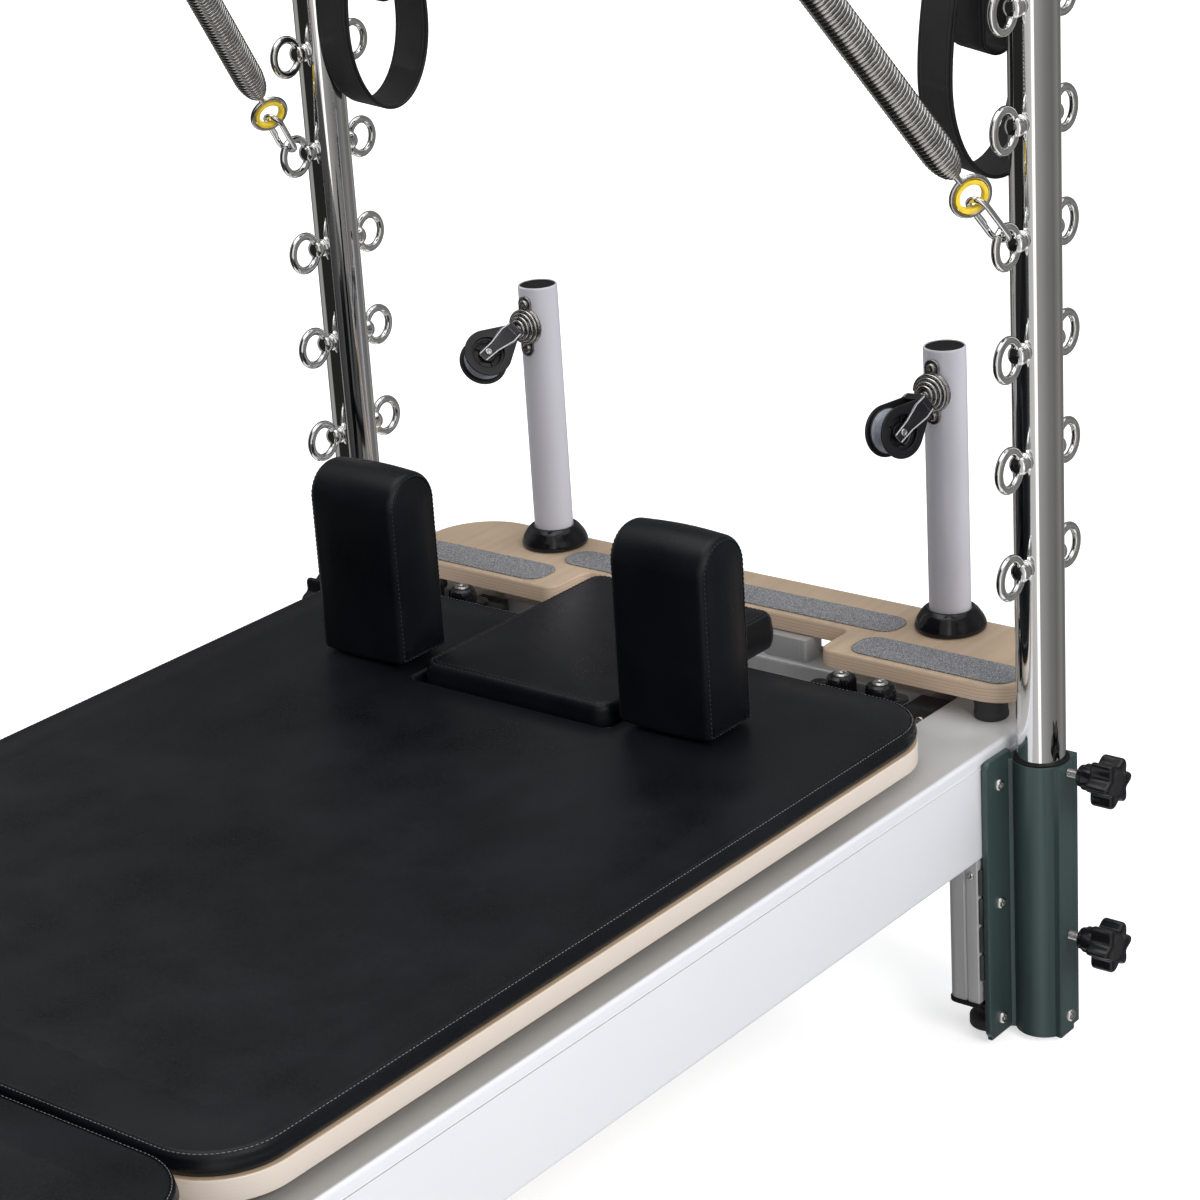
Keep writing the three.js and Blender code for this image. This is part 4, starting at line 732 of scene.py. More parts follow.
# Painted shade: the posts' white is painted darker than the beams' white, standing in for the shade on the
# posts.
post_white = paint_powder("post_powder", POST_SHADED_TONE, (0.57, 0.56, 0.61), POST_SHADED_TONE)
chrome, vinyl, webbing = paint_chrome(), paint_vinyl(), paint_webbing()
ply, pale_ply = paint_ply("birch_ply", 0.0), paint_ply("pale_birch_ply", 0.85)
thread = paint_stitch("seam_thread", (0.12, 0.12, 0.12), (0.27, 0.27, 0.27), 0.7)
dark_thread = paint_stitch("dark_thread", (0.010, 0.010, 0.011), (0.034, 0.034, 0.037), 0.6)
green, grip, leg_grey, rubber = paint_green(), paint_grip(), paint_leg(), paint_rubber()
block_black, cap_black, strap_metal = paint_block_black(), paint_cap(), paint_strap_metal()
gloss_black = paint_plain("black_plastic", (0.010, 0.010, 0.012), 0.0, (30.0, 3.0), (0.004, 0.004, 0.005),
                          (0.008, 0.008, 0.010), (0.10, 0.20), (500.0, 1.0, 0.05, 0.0002), 0.36)
steel = paint_plain("steel", (0.62, 0.615, 0.60), 1.0, (380.0, 3.0), (0.55, 0.545, 0.53),
                    (0.68, 0.675, 0.66), (0.12, 0.28))
spring_steel = paint_plain("spring_steel", (0.42, 0.41, 0.39), 1.0, (90.0, 3.0), (0.44, 0.43, 0.415),
                           (0.60, 0.59, 0.57), (0.10, 0.18))
stainless = paint_plain("dull_stainless", (0.36, 0.35, 0.33), 1.0, (260.0, 3.0), (0.28, 0.27, 0.255),
                        (0.46, 0.45, 0.43), (0.18, 0.36))
sheave_grey = paint_plain("sheave_grey", (0.27, 0.29, 0.34), 0.0, (260.0, 2.0), (0.235, 0.25, 0.295),
                          (0.31, 0.33, 0.385), (0.30, 0.45))
yellow = paint_plain("yellow_plastic", (0.72, 0.47, 0.04), 0.0, (120.0, 2.0), (0.68, 0.48, 0.02),
                     (0.82, 0.60, 0.04), (0.28, 0.42))

FINISHES = {
    "chrome_tube": chrome, "white_powder": powder, "birch_ply": ply, "black_vinyl": vinyl,
    "green_anodised": green, "grip_strip": grip, "black_plastic": gloss_black, "block_black": block_black,
    "black_rubber": rubber, "steel": steel, "grey_aluminium": leg_grey, "sheave_grey": sheave_grey,
    "yellow_plastic": yellow, "webbing": webbing,
}
for part in frame["record"]["subparts"]:
    carried = frame["nodes"][part["node"]]
    carried.data.materials.clear()
    carried.data.materials.append(FINISHES[part["material_slot"]])


# Bed frame: beams, cross beams, legs, boards

BEAM = {"top": 265.0, "bottom": 171.0, "inner": 258.0, "outer": 338.0, "head": 78.0, "foot": -2230.0,
        "edge": 4.0, "groove": 254.0, "depth": 1.5}
LEDGE = {"inner": 236.0, "top": 214.0, "bottom": 208.0}


def beam_outline():
    """Section of the left beam in (y, z): rounded edges, a half-round groove below the outer top edge, and
    the wheel ledge on the inner side."""
    b = BEAM
    body = rounded([(b["inner"], b["bottom"], 2.0), (b["outer"], b["bottom"], b["edge"]),
                    (b["outer"], b["top"], b["edge"]), (b["inner"], b["top"], b["edge"]),
                    (b["inner"], LEDGE["top"], 0.6), (LEDGE["inner"], LEDGE["top"], 1.2),
                    (LEDGE["inner"], LEDGE["bottom"], 1.2), (b["inner"], LEDGE["bottom"], 0.6)], 0.8)
    t = np.linspace(-QUARTER, QUARTER, 9)
    groove = np.stack([b["outer"] - b["depth"] * np.cos(t), b["groove"] + b["depth"] * np.sin(t)], 1)
    at = np.argmax((body[:, 0] > b["outer"] - 0.01) & (body[:, 1] > b["groove"]))
    return np.concatenate([body[:at], groove, body[at:]])


def side_beam(name):
    """Side beam: its section carried from foot to head, drawn in by 0.9 mm at both ends."""
    outline = on_side(beam_outline(), SIDES[name], (-1, 1))
    ends = np.array([0.0, 0.8, 1.4])
    along = np.concatenate([BEAM["foot"] + ends, BEAM["head"] - ends[::-1]])
    rings = np.stack([inset(outline, i) for i in (0.9, 0.3, 0.0, 0.0, 0.3, 0.9)])
    points, faces = capped(raised(rings, along))
    beam = (points[:, [2, 0, 1]], faces)
    piece(f"beam_{name}", beam, powder, "bed", f"side_beam_{name}", 30)


def cross_beam(name, end, inward):
    """A grey box section between the beams with its end plate, and the pedestals that carry the platform."""
    box = oblong(*sorted((end + inward * 0.3, end + inward * 38.0)), 182, 262, 3, 0.8)
    face = end - inward * 0.3
    parts = [slab(box, -235.5, 235.5, 0.6, "flank"),
             slab(oblong(-338, 338, 172, 264, 5, 1.2), face, face - inward * 4.0, 0.8, "x")]
    for y in (-290.0, -200.0, 200.0, 290.0):
        for z in (192.0, 244.0):
            parts.append(button_screw((face - inward * 3.95, y, z), (-inward, 0, 0), 6.5, 3.0))
    if name == "head":
        for y in (-82.0, 82.0):
            parts.append(slab(oblong(46, 72, y - 22, y + 22, 3, 1.0), 261.6, 282.7, 0.6))
    piece(f"cross_beam_{name}", join(*parts), leg_grey, "bed", f"{name}_crossbeam", 35)


LEG_ENDS = {"head": -54.0, "foot": -2190.0}
LEG = {"inner": 305.7, "outer": 335.7, "long": 80.0, "groove": 323.7}


def leg(end, name):
    """Rectangular leg: rounded inner corners, a groove down its outer face, a cap and a levelling foot."""
    s, x, y0, y1 = SIDES[name], LEG_ENDS[end], LEG["inner"], LEG["outer"]
    t = np.linspace(0, np.pi, 9)
    groove = np.stack([x + 1.5 * np.sin(t), LEG["groove"] + 1.6 * np.cos(t)], 1)
    body = np.concatenate([oblong(x, x + LEG["long"], y0, y1, (8, 8, 1.2, 1.2), 0.6), groove])
    piece(f"leg_{end}_{name}", slab(on_side(body, s), 40.3, 170.7, 0.4, steps=2), leg_grey, "bed",
          f"leg_{end}_{name}", 25)
    cap = rounded([(x - 1, s * (y0 - 1), 8.5), (x + 81, s * (y0 - 1), 8.5), (x + 81, s * (y1 + 0.6), 2),
                   (x - 1, s * (y1 + 0.6), 2)], 0.8)
    piece(f"leg_cap_{end}_{name}", slab(cap, 35.9, 40.4, 1.1), cap_black, "bed")
    foot = lathe([[0, 0.0], [15.5, 0.0], [17, 1.5], [17, 9.5], [14, 12], [9.5, 12.6], [9.5, 16.2], [6, 16.6],
                  [6, 36.4], [0, 36.4]], 1.0, (x + LEG["long"] / 2, s * (y0 + y1) / 2, 0.02), UP, 40)
    piece(f"level_foot_{end}_{name}", foot, rubber, "bed")
    if end == "head":
        bolt = button_screw((x + 0.05, s * 329.6, 157.0), (-1, 0, 0), 3.4, 2.0)
        piece(f"leg_bolt_{name}", bolt, steel, "bed")


PLATFORM = {"bottom": 283.0, "top": 299.0}
GRIPS = {"grip_strip_middle": ("grip_middle", 61, 97, -182, 182),
         "grip_strip_left": ("grip_ear_left", 11, 50, 168, 326),
         "grip_strip_right": ("grip_ear_right", 11, 50, -326, -168)}


def both_sides(half, step=2.0):
    """An outline from the corners of its left half, repeated backwards on the right."""
    return rounded(list(half) + [(x, -y, r) for x, y, r in half[::-1]], step)


def head_platform():
    """Plywood board with two ears towards the carriage, and a gritty strip on each ear and between them."""
    outline = both_sides([(55, 145, 10), (5, 145, 12), (5, 339, 38), (128, 339, 60)], 1.2)
    board = slab(outline, PLATFORM["bottom"], PLATFORM["top"], 1.8, steps=5)
    piece("platform_board", board, ply, "bed", "head_platform", 35)
    for name, (node, *sides) in GRIPS.items():
        strip = slab(oblong(*sides, 16, 0.8), PLATFORM["top"] + 0.02, PLATFORM["top"] + 1.3, 0.5)
        piece(name, strip, grip, "bed", node, 50)


def foot_deck():
    """Plywood board across the foot end: an oblong with rolled edges."""
    board = slab(oblong(-2228, -1920, -318.4, 318.4, 30, 1.5), 265.3, 283.3, 1.8, steps=5)
    piece("foot_deck_board", board, ply, "bed", "foot_deck", 35)


def spacer(name):
    """Turned rubber foot under the platform, with a waist between two rims."""
    centre = (22, SIDES[name] * 305, 0)
    form = lathe([[0, 265.1], [13.6, 265.1], [14.5, 266.2], [14.5, 270], [14.0, 270.6], [14.0, 277.5],
                  [14.5, 278], [14.5, 282], [13.8, 282.9], [0, 282.9]], 0.6, centre, UP, 48)
    piece(f"spacer_{name}", form, rubber, "bed", f"platform_spacer_{name}")


def bumper(name):
    """Rubber stop on the head cross beam: a block with well rolled edges, and its bolt head."""
    s = SIDES[name]
    block = slab(on_side(oblong(13.6, 39.2, 226, 257.2, 3, 0.6), s), 238, 262, 2.4, steps=5)
    piece(f"bumper_block_{name}", block, rubber, "bed", f"bumper_{name}")
    bolt = button_screw((13.7, s * 241.7, 250), (-1, 0, 0), 5.0, 4.0)
    piece(f"bumper_bolt_{name}", bolt, steel, "bed")


for side_name in SIDES:
    side_beam(side_name)
    spacer(side_name)
    bumper(side_name)
    for leg_end in LEG_ENDS:
        leg(leg_end, side_name)
cross_beam("head", BEAM["head"], -1)
cross_beam("foot", BEAM["foot"], 1)
head_platform()
foot_deck()


# Tower: bent tube, eyebolts, clamps and star knobs

TOWER = {"half": 365.0, "top": 1890.0, "foot": 8.0, "radius": 20.0, "bend": 80.0}
BOLT_Z = 419.0 + 88.5 * np.arange(6)
EYEBOLT = {"reach": 43.0, "ring": 15.5, "wire": 3.0}
STRAP_Z, STRAP_REACH = 1150.0, 50.0


def tower_tube():
    """One tube bent up, across and down: straight runs with an arc at each top corner."""
    t = TOWER
    low, high = t["foot"], t["top"]
    path = bent([(0, -t["half"], low), (0, -t["half"], high), (0, t["half"], high), (0, t["half"], low)],
                [t["bend"], t["bend"]], 3.0)
    path = np.concatenate([path[:1], path[:2].mean(0, keepdims=True), path[1:]])
    piece("tower_tube", tube(path, t["radius"], 96, round_ends=1.0), chrome, "tower", "tower_frame",
          60)


def eyebolt(at, direction, normal, reach):
    """A forged eye: a turned boss that leaves the tube with a small flange and waist and ends in a flat
    face, and a ring whose wire runs through the boss. Profile of the boss: radius against distance."""
    inner = reach - EYEBOLT["ring"]
    boss = lathe([[0, 17.5], [7.0, 17.5], [7.9, 20.6], [7.9, 21.4], [6.5, inner - 5.2], [7.0, inner - 3.6],
                  [8.2, inner - 0.6], [8.2, inner + 2.4], [7.4, inner + 3.9], [4.6, inner + 5.2],
                  [0, inner + 5.8]], 0.9, at, direction, 32)
    middle = np.asarray(at) + np.asarray(direction) * reach
    return join(boss, hoop(middle, normal, EYEBOLT["ring"], EYEBOLT["wire"] + 0.5, 48, 14))


def eyebolts(name):
    """Six eyebolts on each side of one upright, and the one that the strap hangs from."""
    s, y = SIDES[name], SIDES[name] * TOWER["half"]
    parts = [eyebolt((0, y, z), (way, 0, 0), ACROSS, EYEBOLT["reach"]) for z in BOLT_Z for way in (-1, 1)]
    parts.append(eyebolt((0, y, STRAP_Z), (0, -s, 0), ALONG, STRAP_REACH))
    piece(f"eyebolts_{name}", join(*parts), chrome, "tower", angle=38)


CLAMP = {"bore": 20.4, "out": 23.5, "bottom": 5.0, "top": 250.0, "screws": (233.0, 127.0, 21.0)}


def swept(radius, start, end, count, turns=(0, 0)):
    """Points of a circle arc from the direction of one point to that of another; turns adds whole turns to
    the two angles."""
    first, last = (np.arctan2(y, x) + turn * TURN for (x, y), turn in zip((start, end), turns))
    t = np.linspace(first, last, count)
    return radius * np.stack([np.cos(t), np.sin(t)], 1)


def clamp_section():
    """The left clamp's extruded section: round sleeve with its slot, flat boss for the knobs, rib, and the
    flange that meets the sleeve in a shallow crease. All of it is drawn about the tube's axis."""
    out, bore = CLAMP["out"], CLAMP["bore"]
    rib = [(11.0, 17.2), (11.0, 20.1), (12.0, 20.6), (21.8, 20.6), (22.5, 19.8), (22.5, 6.8)]
    right = swept(out, (22.5, 6.8), (9.5, -21.5), 26)
    flange = [(8.0, -21.4), (8.0, -26.0), (-47.0, -26.0), (-47.0, -21.8), (-17.2, -21.8), (-16.6, -20.6),
              (-15.9, -19.6), (-15.2, -17.9)]
    left = swept(out, (-15.2, -17.9), (-13.6, 19.2), 30, (1, 0))
    boss = [(-14.0, 23.8), (-13.2, 24.6), (6.8, 24.6), (7.5, 23.9), (7.5, 19.6), (7.5, 18.97)]
    ring = swept(bore, boss[-1], rib[0], 90, (0, 1))
    return np.concatenate([rib, right, flange, left, boss, ring])


def clamp(name):
    """Extruded sleeve clamp: its section pushed up, with broken edges at both ends, and its flange sheet,
    screws, dark lip and the teeth of the rubber shim behind it."""
    s = SIDES[name]
    outline = clamp_section()
    section = outline * [1, s]
    section = section if turned_area(outline) * s > 0 else section[::-1]
    low, high, broken = CLAMP["bottom"], CLAMP["top"], 0.35
    rings = np.stack([inset(section, i) for i in (broken, 0.0, 0.0, broken)])
    points, faces = capped(raised(rings, [low, low + broken, high - broken, high]))
    origin = np.array([0, s * TOWER["half"], 0])
    plate = rounded([(-50, 7, 7), (-13, 7, 0), (-13, 257, 0), (-50, 257, 7)], 0.8)
    sheet = slab(plate, s * 338.6, s * 344.0, 0.6, "flank", steps=3)
    piece(f"clamp_body_{name}", join((points + origin, faces), sheet), green, "bed", f"tower_clamp_{name}",
          30)
    screws = [button_screw((-32.0, s * 343.7, z), (0, s, 0), 5.5, 3.5, 0.5) for z in CLAMP["screws"]]
    screws.append(button_screw((0.0, s * 389.3, CLAMP["screws"][-1]), (0, s, 0), 5.5, 3.8, 0.5))
    piece(f"clamp_screws_{name}", join(*screws), steel, "bed")
    lip = revolve([[20.15, 250.2], [22.6, 250.2], [22.9, 251.0], [22.4, 251.6], [20.15, 251.6],
                   [20.15, 250.2]], origin, UP, 72)
    piece(f"clamp_lip_{name}", lip, cap_black, "bed")
    teeth = [slab(oblong(-53, -23, z + 1.5, z + 24.5, 1.5, 0.5), s * 336.0, s * 337.9, 0.4, "flank", steps=2)
             for z in 60 + 26 * np.arange(4)]
    piece(f"clamp_shim_teeth_{name}", join(*teeth), rubber, "bed", f"clamp_shim_{name}")


KNOB = {"radius": 18.0, "wave": 3.2, "low": 51.0, "high": 72.0}
KNOB_LEVELS = {"upper": 241.915, "lower": 95.895}


def star_form(middle, side):
    """Six lobes round the axis: radius = 18 + 3.2*(w - 0.18*(1 - w*w)) with w = cos(6*angle), drawn in at
    both faces along a quarter circle, with a recessed disc in the outer face."""
    angle = np.linspace(0, TURN, 144, endpoint=False)
    wave = np.cos(6 * angle)
    lobes = KNOB["radius"] + KNOB["wave"] * (wave - 0.18 * (1 - wave ** 2))
    low_in, low_depth = rolled(3.0, 6)
    high_in, high_depth = rolled(3.6, 6)
    insets = np.concatenate([low_in[::-1], high_in])
    heights = np.concatenate([KNOB["low"] + low_depth[::-1], KNOB["high"] - high_depth])
    disc = np.array([(11.0, 72.0), (10.4, 71.5), (10.0, 70.7), (0.01, 70.5)])
    centre = np.full((1, 144), 0.01)
    radii = np.concatenate([centre, lobes - insets[:, None], np.repeat(disc[:, :1], 144, 1)])
    heights = np.concatenate([[KNOB["low"]], heights, disc[:, 1]])
    points = np.stack([radii * np.cos(angle), np.broadcast_to(side * heights[:, None], radii.shape),
                       radii * np.sin(angle)], -1)
    return grid(points + middle, wrap_columns=True)


def star_knob(level, name):
    """Star knob on a stepped hub, with a threaded rod: the rod's radius is 3.15 + 0.35*cos(one turn a
    millimetre)."""
    s = SIDES[name]
    middle, out = np.array([0, s * TOWER["half"], KNOB_LEVELS[level]]), (0, s, 0)
    hub = lathe([[0, 36], [8.6, 36], [9.2, 37.2], [9.2, 40.2], [11, 41], [11, 51.6], [0, 51.6]], 0.8,
                middle, out, 48)
    body = f"knob_{level}_{name[0]}"
    piece(f"star_knob_{level}_{name}", join(star_form(middle, s), hub), gloss_black, body,
          f"knob_{level}_{name}", 45)
    along = np.arange(21.0, 36.6, 0.25)
    ridges = np.stack([3.15 + 0.35 * np.cos(along * TURN), along], 1)
    rod = np.concatenate([[[0, 20.4], [2.6, 20.4]], ridges, [[0, 36.6]]])
    piece(f"knob_stud_{level}_{name}", revolve(rod, middle, out, 20), steel, body, angle=80)


# Push-through bar, tower springs, bushes and hooks

LEAN = 0.6126
BAR = {"half": 262.0, "top": 28.4, "length": 880.0, "bend": 60.0, "radius": 14.0, "eye_along": 806.0,
       "eye_out": 21.0, "eye": 8.0, "eye_wire": 2.6}
HOOK = {"wire": 2.5, "length": 46.0, "half": 8.2, "gate": 1.25}
LINER = {"bore": 9.6, "out": 13.5, "half": 3.0}
EYE_TWIST = 0.55
SPRING = {"pitch": 3.6, "wire": 1.62, "radius": 11.85, "taper": 30.0, "eye": 15.7, "eye_wire": 2.05,
          "top_eye": 9.0, "top_wire": 1.9}


def leaning(distance, y):
    """A point of the bar's plane: so far down its lean from the tower's top tube."""
    return np.array([-np.sin(LEAN) * distance, y, TOWER["top"] - np.cos(LEAN) * distance])


def bar_eye(s):
    """The middle of the small eye on the bar that a spring hangs from."""
    return leaning(BAR["eye_along"], s * (BAR["half"] - BAR["eye_out"]))


def spring_bolt(s):
    """The middle of the eyebolt ring that a spring is hooked to."""
    return np.array([-EYEBOLT["reach"], s * TOWER["half"], BOLT_Z[3]])


def push_bar():
    """A bar bent in a U, its two sleeves on the top tube with their screws, and the springs' eyes."""
    b = BAR
    ends = [(b["top"], -1), (b["length"], -1), (b["length"], 1), (b["top"], 1)]
    path = bent([leaning(down, s * b["half"]) for down, s in ends], [b["bend"], b["bend"]], 3.0)
    parts = [tube(path, b["radius"], 64)]
    half = 17.0
    sleeve = soften([[20.6, -half], [28.0, -half], [29.0, -half + 1], [29.0, half - 1], [28.0, half],
                     [20.6, half]], 0.6)
    sleeve = np.concatenate([sleeve, [[20.6, -half]]])
    for s in SIDES.values():
        parts.append(revolve(sleeve, (0, s * b["half"], TOWER["top"]), ACROSS, 72))
        parts.append(button_screw(leaning(0, s * b["half"]) + [28.6, 0, 0], ALONG, 4.0, 2.6))
        pull = (bar_eye(s) - spring_bolt(s)) * [1, 0, 1]
        parts.append(hoop(bar_eye(s), np.cross(unit(pull), ACROSS), b["eye"], b["eye_wire"], 40, 14))
    piece("push_bar_tube", join(*parts), chrome, "bar", "push_bar", 50)


def hook_frame(s):
    """The line from the eyebolt's ring up to the bar's small eye, and the hook's and bush's places on it."""
    eye, top = spring_bolt(s), bar_eye(s)
    seat = eye + unit((top - eye) * [1, 0, 1]) * EYEBOLT["ring"]
    pull = unit(top - seat)
    low = seat - pull * (EYEBOLT["wire"] + HOOK["wire"] + 0.6)
    high = low + pull * HOOK["length"]
    across = unit(np.array(ACROSS) - pull * pull[1])
    normal = np.cos(EYE_TWIST) * across - np.sin(EYE_TWIST) * np.cross(pull, across)
    centre = high + pull * (9.0 - HOOK["wire"] - 2.2)
    return {"pull": pull, "low": low, "high": high, "across": across, "centre": centre, "normal": normal,
            "top": top}


def snap_hook(name):
    """A stainless snap hook: two straight runs joined by half circles, and inside its free side the gate, a
    wire bent inwards."""
    f = hook_frame(SIDES[name])
    pull, across, middle = f["pull"], f["across"], (f["low"] + f["high"]) / 2
    t = np.linspace(0, TURN, 96, endpoint=False)
    straight = np.sign(np.sin(t)) * (HOOK["length"] / 2 - HOOK["half"])
    path = (middle + (np.cos(t) * HOOK["half"])[:, None] * across
            + (straight + np.sin(t) * HOOK["half"])[:, None] * pull)
    bend = np.linspace(0, 3, 24)
    out = HOOK["half"] * np.interp(bend, np.arange(4), [0.98, 0.55, 0.62, 0.92])
    along = np.interp(bend, np.arange(4), [-13.0, -2.0, 9.0, 14.5])
    gate = middle + out[:, None] * across + along[:, None] * pull
    wires = join(tube(path, HOOK["wire"], 16, closed=True), tube(gate, HOOK["gate"], 12))
    piece(f"hook_wire_{name}", wires, chrome, "tower", f"snap_hook_{name}", 60)


def spring_bush(name):
    """The yellow liner: a flanged bush inside the spring's eye ring."""
    f = hook_frame(SIDES[name])
    bore, out, half = LINER["bore"], LINER["out"], LINER["half"]
    form = lathe([[bore, 0.0], [bore, -2.0], [10.5, -half], [out, -half], [out, -1.9], [12.6, -1.4],
                  [12.6, 1.4], [out, 1.9], [out, half], [10.5, half], [bore, 2.0], [bore, 0.0]], 0.5,
                 f["centre"], f["normal"])
    piece(f"bush_liner_{name}", form, yellow, "tower", f"spring_bush_{name}", 50)


def tower_spring(name):
    """Close-wound extension spring: wire angle grows by one turn each 3.6 mm of length, its radius falls to
    nothing along a quarter ellipse at both ends, and each end runs straight into a round eye."""
    f = hook_frame(SIDES[name])
    pull, centre, normal = f["pull"], f["centre"], f["normal"]
    side = unit(np.cross(normal, pull))
    top_eye = SPRING["top_eye"]
    length = (f["top"] - centre) @ pull - (BAR["eye"] - BAR["eye_wire"] - SPRING["top_wire"] - 0.6) - top_eye
    start, finish = 23.8, length - top_eye - 8.0
    turns = int((finish - start) / SPRING["pitch"])
    wound = np.linspace(0, turns, turns * 14 + 1)
    along = start + (finish - start) * wound / turns
    share = np.clip(np.minimum(along - start, finish - along) / SPRING["taper"], 0, 1)
    radius = SPRING["radius"] * np.sqrt(share * (2 - share)) + 0.35 * (1 - share)
    axis = centre + along[:, None] * pull
    coil = (axis + (np.cos(wound * TURN) * radius)[:, None] * side
            + (np.sin(wound * TURN) * radius)[:, None] * normal)
    out = unit(coil - axis)
    up = np.cross(unit(np.gradient(coil, axis=0)), out)
    section = np.linspace(0, TURN, 9, endpoint=False)[None, :, None]
    wire = coil[:, None] + SPRING["wire"] * (np.cos(section) * out[:, None] + np.sin(section) * up[:, None])
    low, high = np.linspace(15.0, 29.0, 8), np.linspace(finish - 10, finish + 8.6, 8)
    across = unit(np.array(ACROSS) - pull * pull[1])
    ends = join(hoop(centre, normal, SPRING["eye"], SPRING["eye_wire"], 64, 16),
                tube(centre + low[:, None] * pull, np.linspace(2.3, 3.4, 8), 16),
                hoop(centre + pull * length, np.cross(pull, across), top_eye, SPRING["top_wire"], 40, 12),
                tube(centre + high[:, None] * pull, np.linspace(3.2, 2.0, 8), 16))
    coils = piece(f"spring_coil_{name}", grid(wire, wrap_columns=True), spring_steel, None,
                  f"tower_spring_{name}", 180)
    ends = piece(f"spring_ends_{name}", ends, steel, None, angle=60)
    for thing in (coils, ends):
        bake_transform(thing)


for side_name in SIDES:
    eyebolts(side_name)
    clamp(side_name)
    for level_name in KNOB_LEVELS:
        star_knob(level_name, side_name)
    snap_hook(side_name)
    spring_bush(side_name)
    tower_spring(side_name)
tower_tube()
push_bar()


# Upholstery: a grid of rows round each panel, puffed by a cloth simulation

SEAM_DEPTH = 0.9
PRESSURE = 4.0


def evenly(outline, step):
    """The outline with its long runs split, so that no edge is longer than the step."""
    edge = np.roll(outline, -1, 0) - outline
    parts = np.maximum(1, np.ceil(np.linalg.norm(edge, axis=1) / step)).astype(int)
    start = np.repeat(np.arange(len(outline)), parts)
    share = (np.arange(len(start)) - np.repeat(np.cumsum(parts) - parts, parts)) / parts[start]
    return outline[start] + edge[start] * share[:, None]


def distance_to(outline, points, batch=1500):
    """Each flat point's distance to the outline: the least over its edges of the way to the nearest point."""
    a, ab = outline, np.roll(outline, -1, 0) - outline
    least = np.empty(len(points))
    for start in range(0, len(points), batch):
        p = points[start:start + batch, None]
        t = np.clip(np.sum((p - a) * ab, -1) / np.maximum(np.sum(ab * ab, -1), 1e-12), 0, 1)
        least[start:start + batch] = np.linalg.norm(p - a - t[..., None] * ab, axis=-1).min(1)
    return least


def panel(rim, spacing):
    """A flat panel inside a rim: rows of points half a step apart in turn, kept where they lie more than
    0.6 steps inside, and joined with the rim into triangles."""
    low, high = rim.min(0), rim.max(0)
    rows = np.arange(low[1] + spacing / 2, high[1], spacing * 0.87)
    x, y = np.meshgrid(np.arange(low[0], high[0], spacing), rows)
    x = x + (np.arange(len(rows)) % 2)[:, None] * spacing / 2
    spots = np.stack([x.ravel(), y.ravel()], 1)
    crossed = np.zeros(len(spots), int)
    for p, q in zip(rim, np.roll(rim, -1, 0)):
        over = (p[1] > spots[:, 1]) != (q[1] > spots[:, 1])
        crossed += over & (spots[:, 0] < p[0] + (spots[:, 1] - p[1]) * (q[0] - p[0]) / (q[1] - p[1] + 1e-12))
    spots = spots[(crossed % 2 == 1) & (distance_to(rim, spots) > 0.6 * spacing)]
    given = [Vector(v) for v in np.concatenate([rim, spots]).tolist()]
    found = delaunay_2d_cdt(given, [], [list(range(len(rim)))], 1, 1e-6)
    return np.array([tuple(v) for v in found[0]]), np.array(found[2])


def edge_rows(pad):
    """Rows from the panel's rim out over its seam and the rolled edge: the seam is a small groove at the
    inset `roll`, and beyond it a quarter ellipse runs down to the side."""
    r, crown, top = pad["roll"], pad["crown"], pad["crown"] + pad["slack"]
    q = np.linspace(0.22, QUARTER, 8)
    inner = [(r + 7.0, top - crown * 0.16), (r + 4.0, top - crown * 0.08), (r + 2.4, top),
             (r + 1.2, top + 0.10), (r + 0.5, top + 0.45), (r, top + SEAM_DEPTH), (r - 0.5, top + 0.45)]
    outer = np.stack([(r - 0.9) * (1 - np.sin(q)) + pad["swell"], top + 0.05 + (r + 1) * (1 - np.cos(q))], 1)
    return np.concatenate([inner, outer])


def cushion_rows(pad):
    """All rows of a cushion as (inset, height): the top edge, a side that swells by a half sine and is drawn
    in at the foot, and either a flat foot or the same edge again."""
    top = edge_rows(pad)
    height, start = pad["high"] - pad["low"], top[-1, 1]
    if pad["both"]:
        t = np.linspace(0, 1, 15)[1:-1]
        side = np.stack([pad["swell"] * (1 - np.sin(np.pi * t)), start + (height - 2 * start) * t], 1)
        foot = top[::-1] * [1, -1] + [0, height]
    else:
        t = np.linspace(0, 1, 9)[1:]
        side = np.stack([pad["swell"] * (1 - np.sin(np.pi * t * 0.8)) + pad["draw"] * t ** 3,
                         start + (height - start - 1.2) * t], 1)
        foot = [[side[-1, 0] + 0.5, height - 0.4], [side[-1, 0] + 1.8, height]]
    rows = np.concatenate([top, side, foot])
    return rows[:, 0], pad["high"] - rows[:, 1]


def cushion(pad):
    """The cushion's rows round its outline, its top panel, and its foot or second panel. The panel rises
    from its rim by a share 1 - exp(-distance / ease)."""
    insets, heights = cushion_rows(pad)
    rows = raised(np.stack([inset(pad["outline"], i) for i in insets]), heights)
    spots, faces = panel(rows[0, :, :2], pad["spacing"])
    inward = distance_to(pad["outline"], spots) - insets[0]
    rise = (pad["high"] - pad["slack"] - heights[0]) * (1 - np.exp(-inward / pad["ease"]))
    parts = [grid(rows, wrap_columns=True), (np.column_stack([spots, heights[0] + rise]), [faces])]
    if pad["both"]:
        parts.append((np.column_stack([spots, heights[-1] - rise]), [faces[:, ::-1]]))
    else:
        foot, faces = panel(rows[-1, :, :2], pad["spacing"] * 2.5)
        parts.append((np.column_stack([foot, np.full(len(foot), heights[-1])]), [faces[:, ::-1]]))
    return join(*parts), rows.shape[:2]


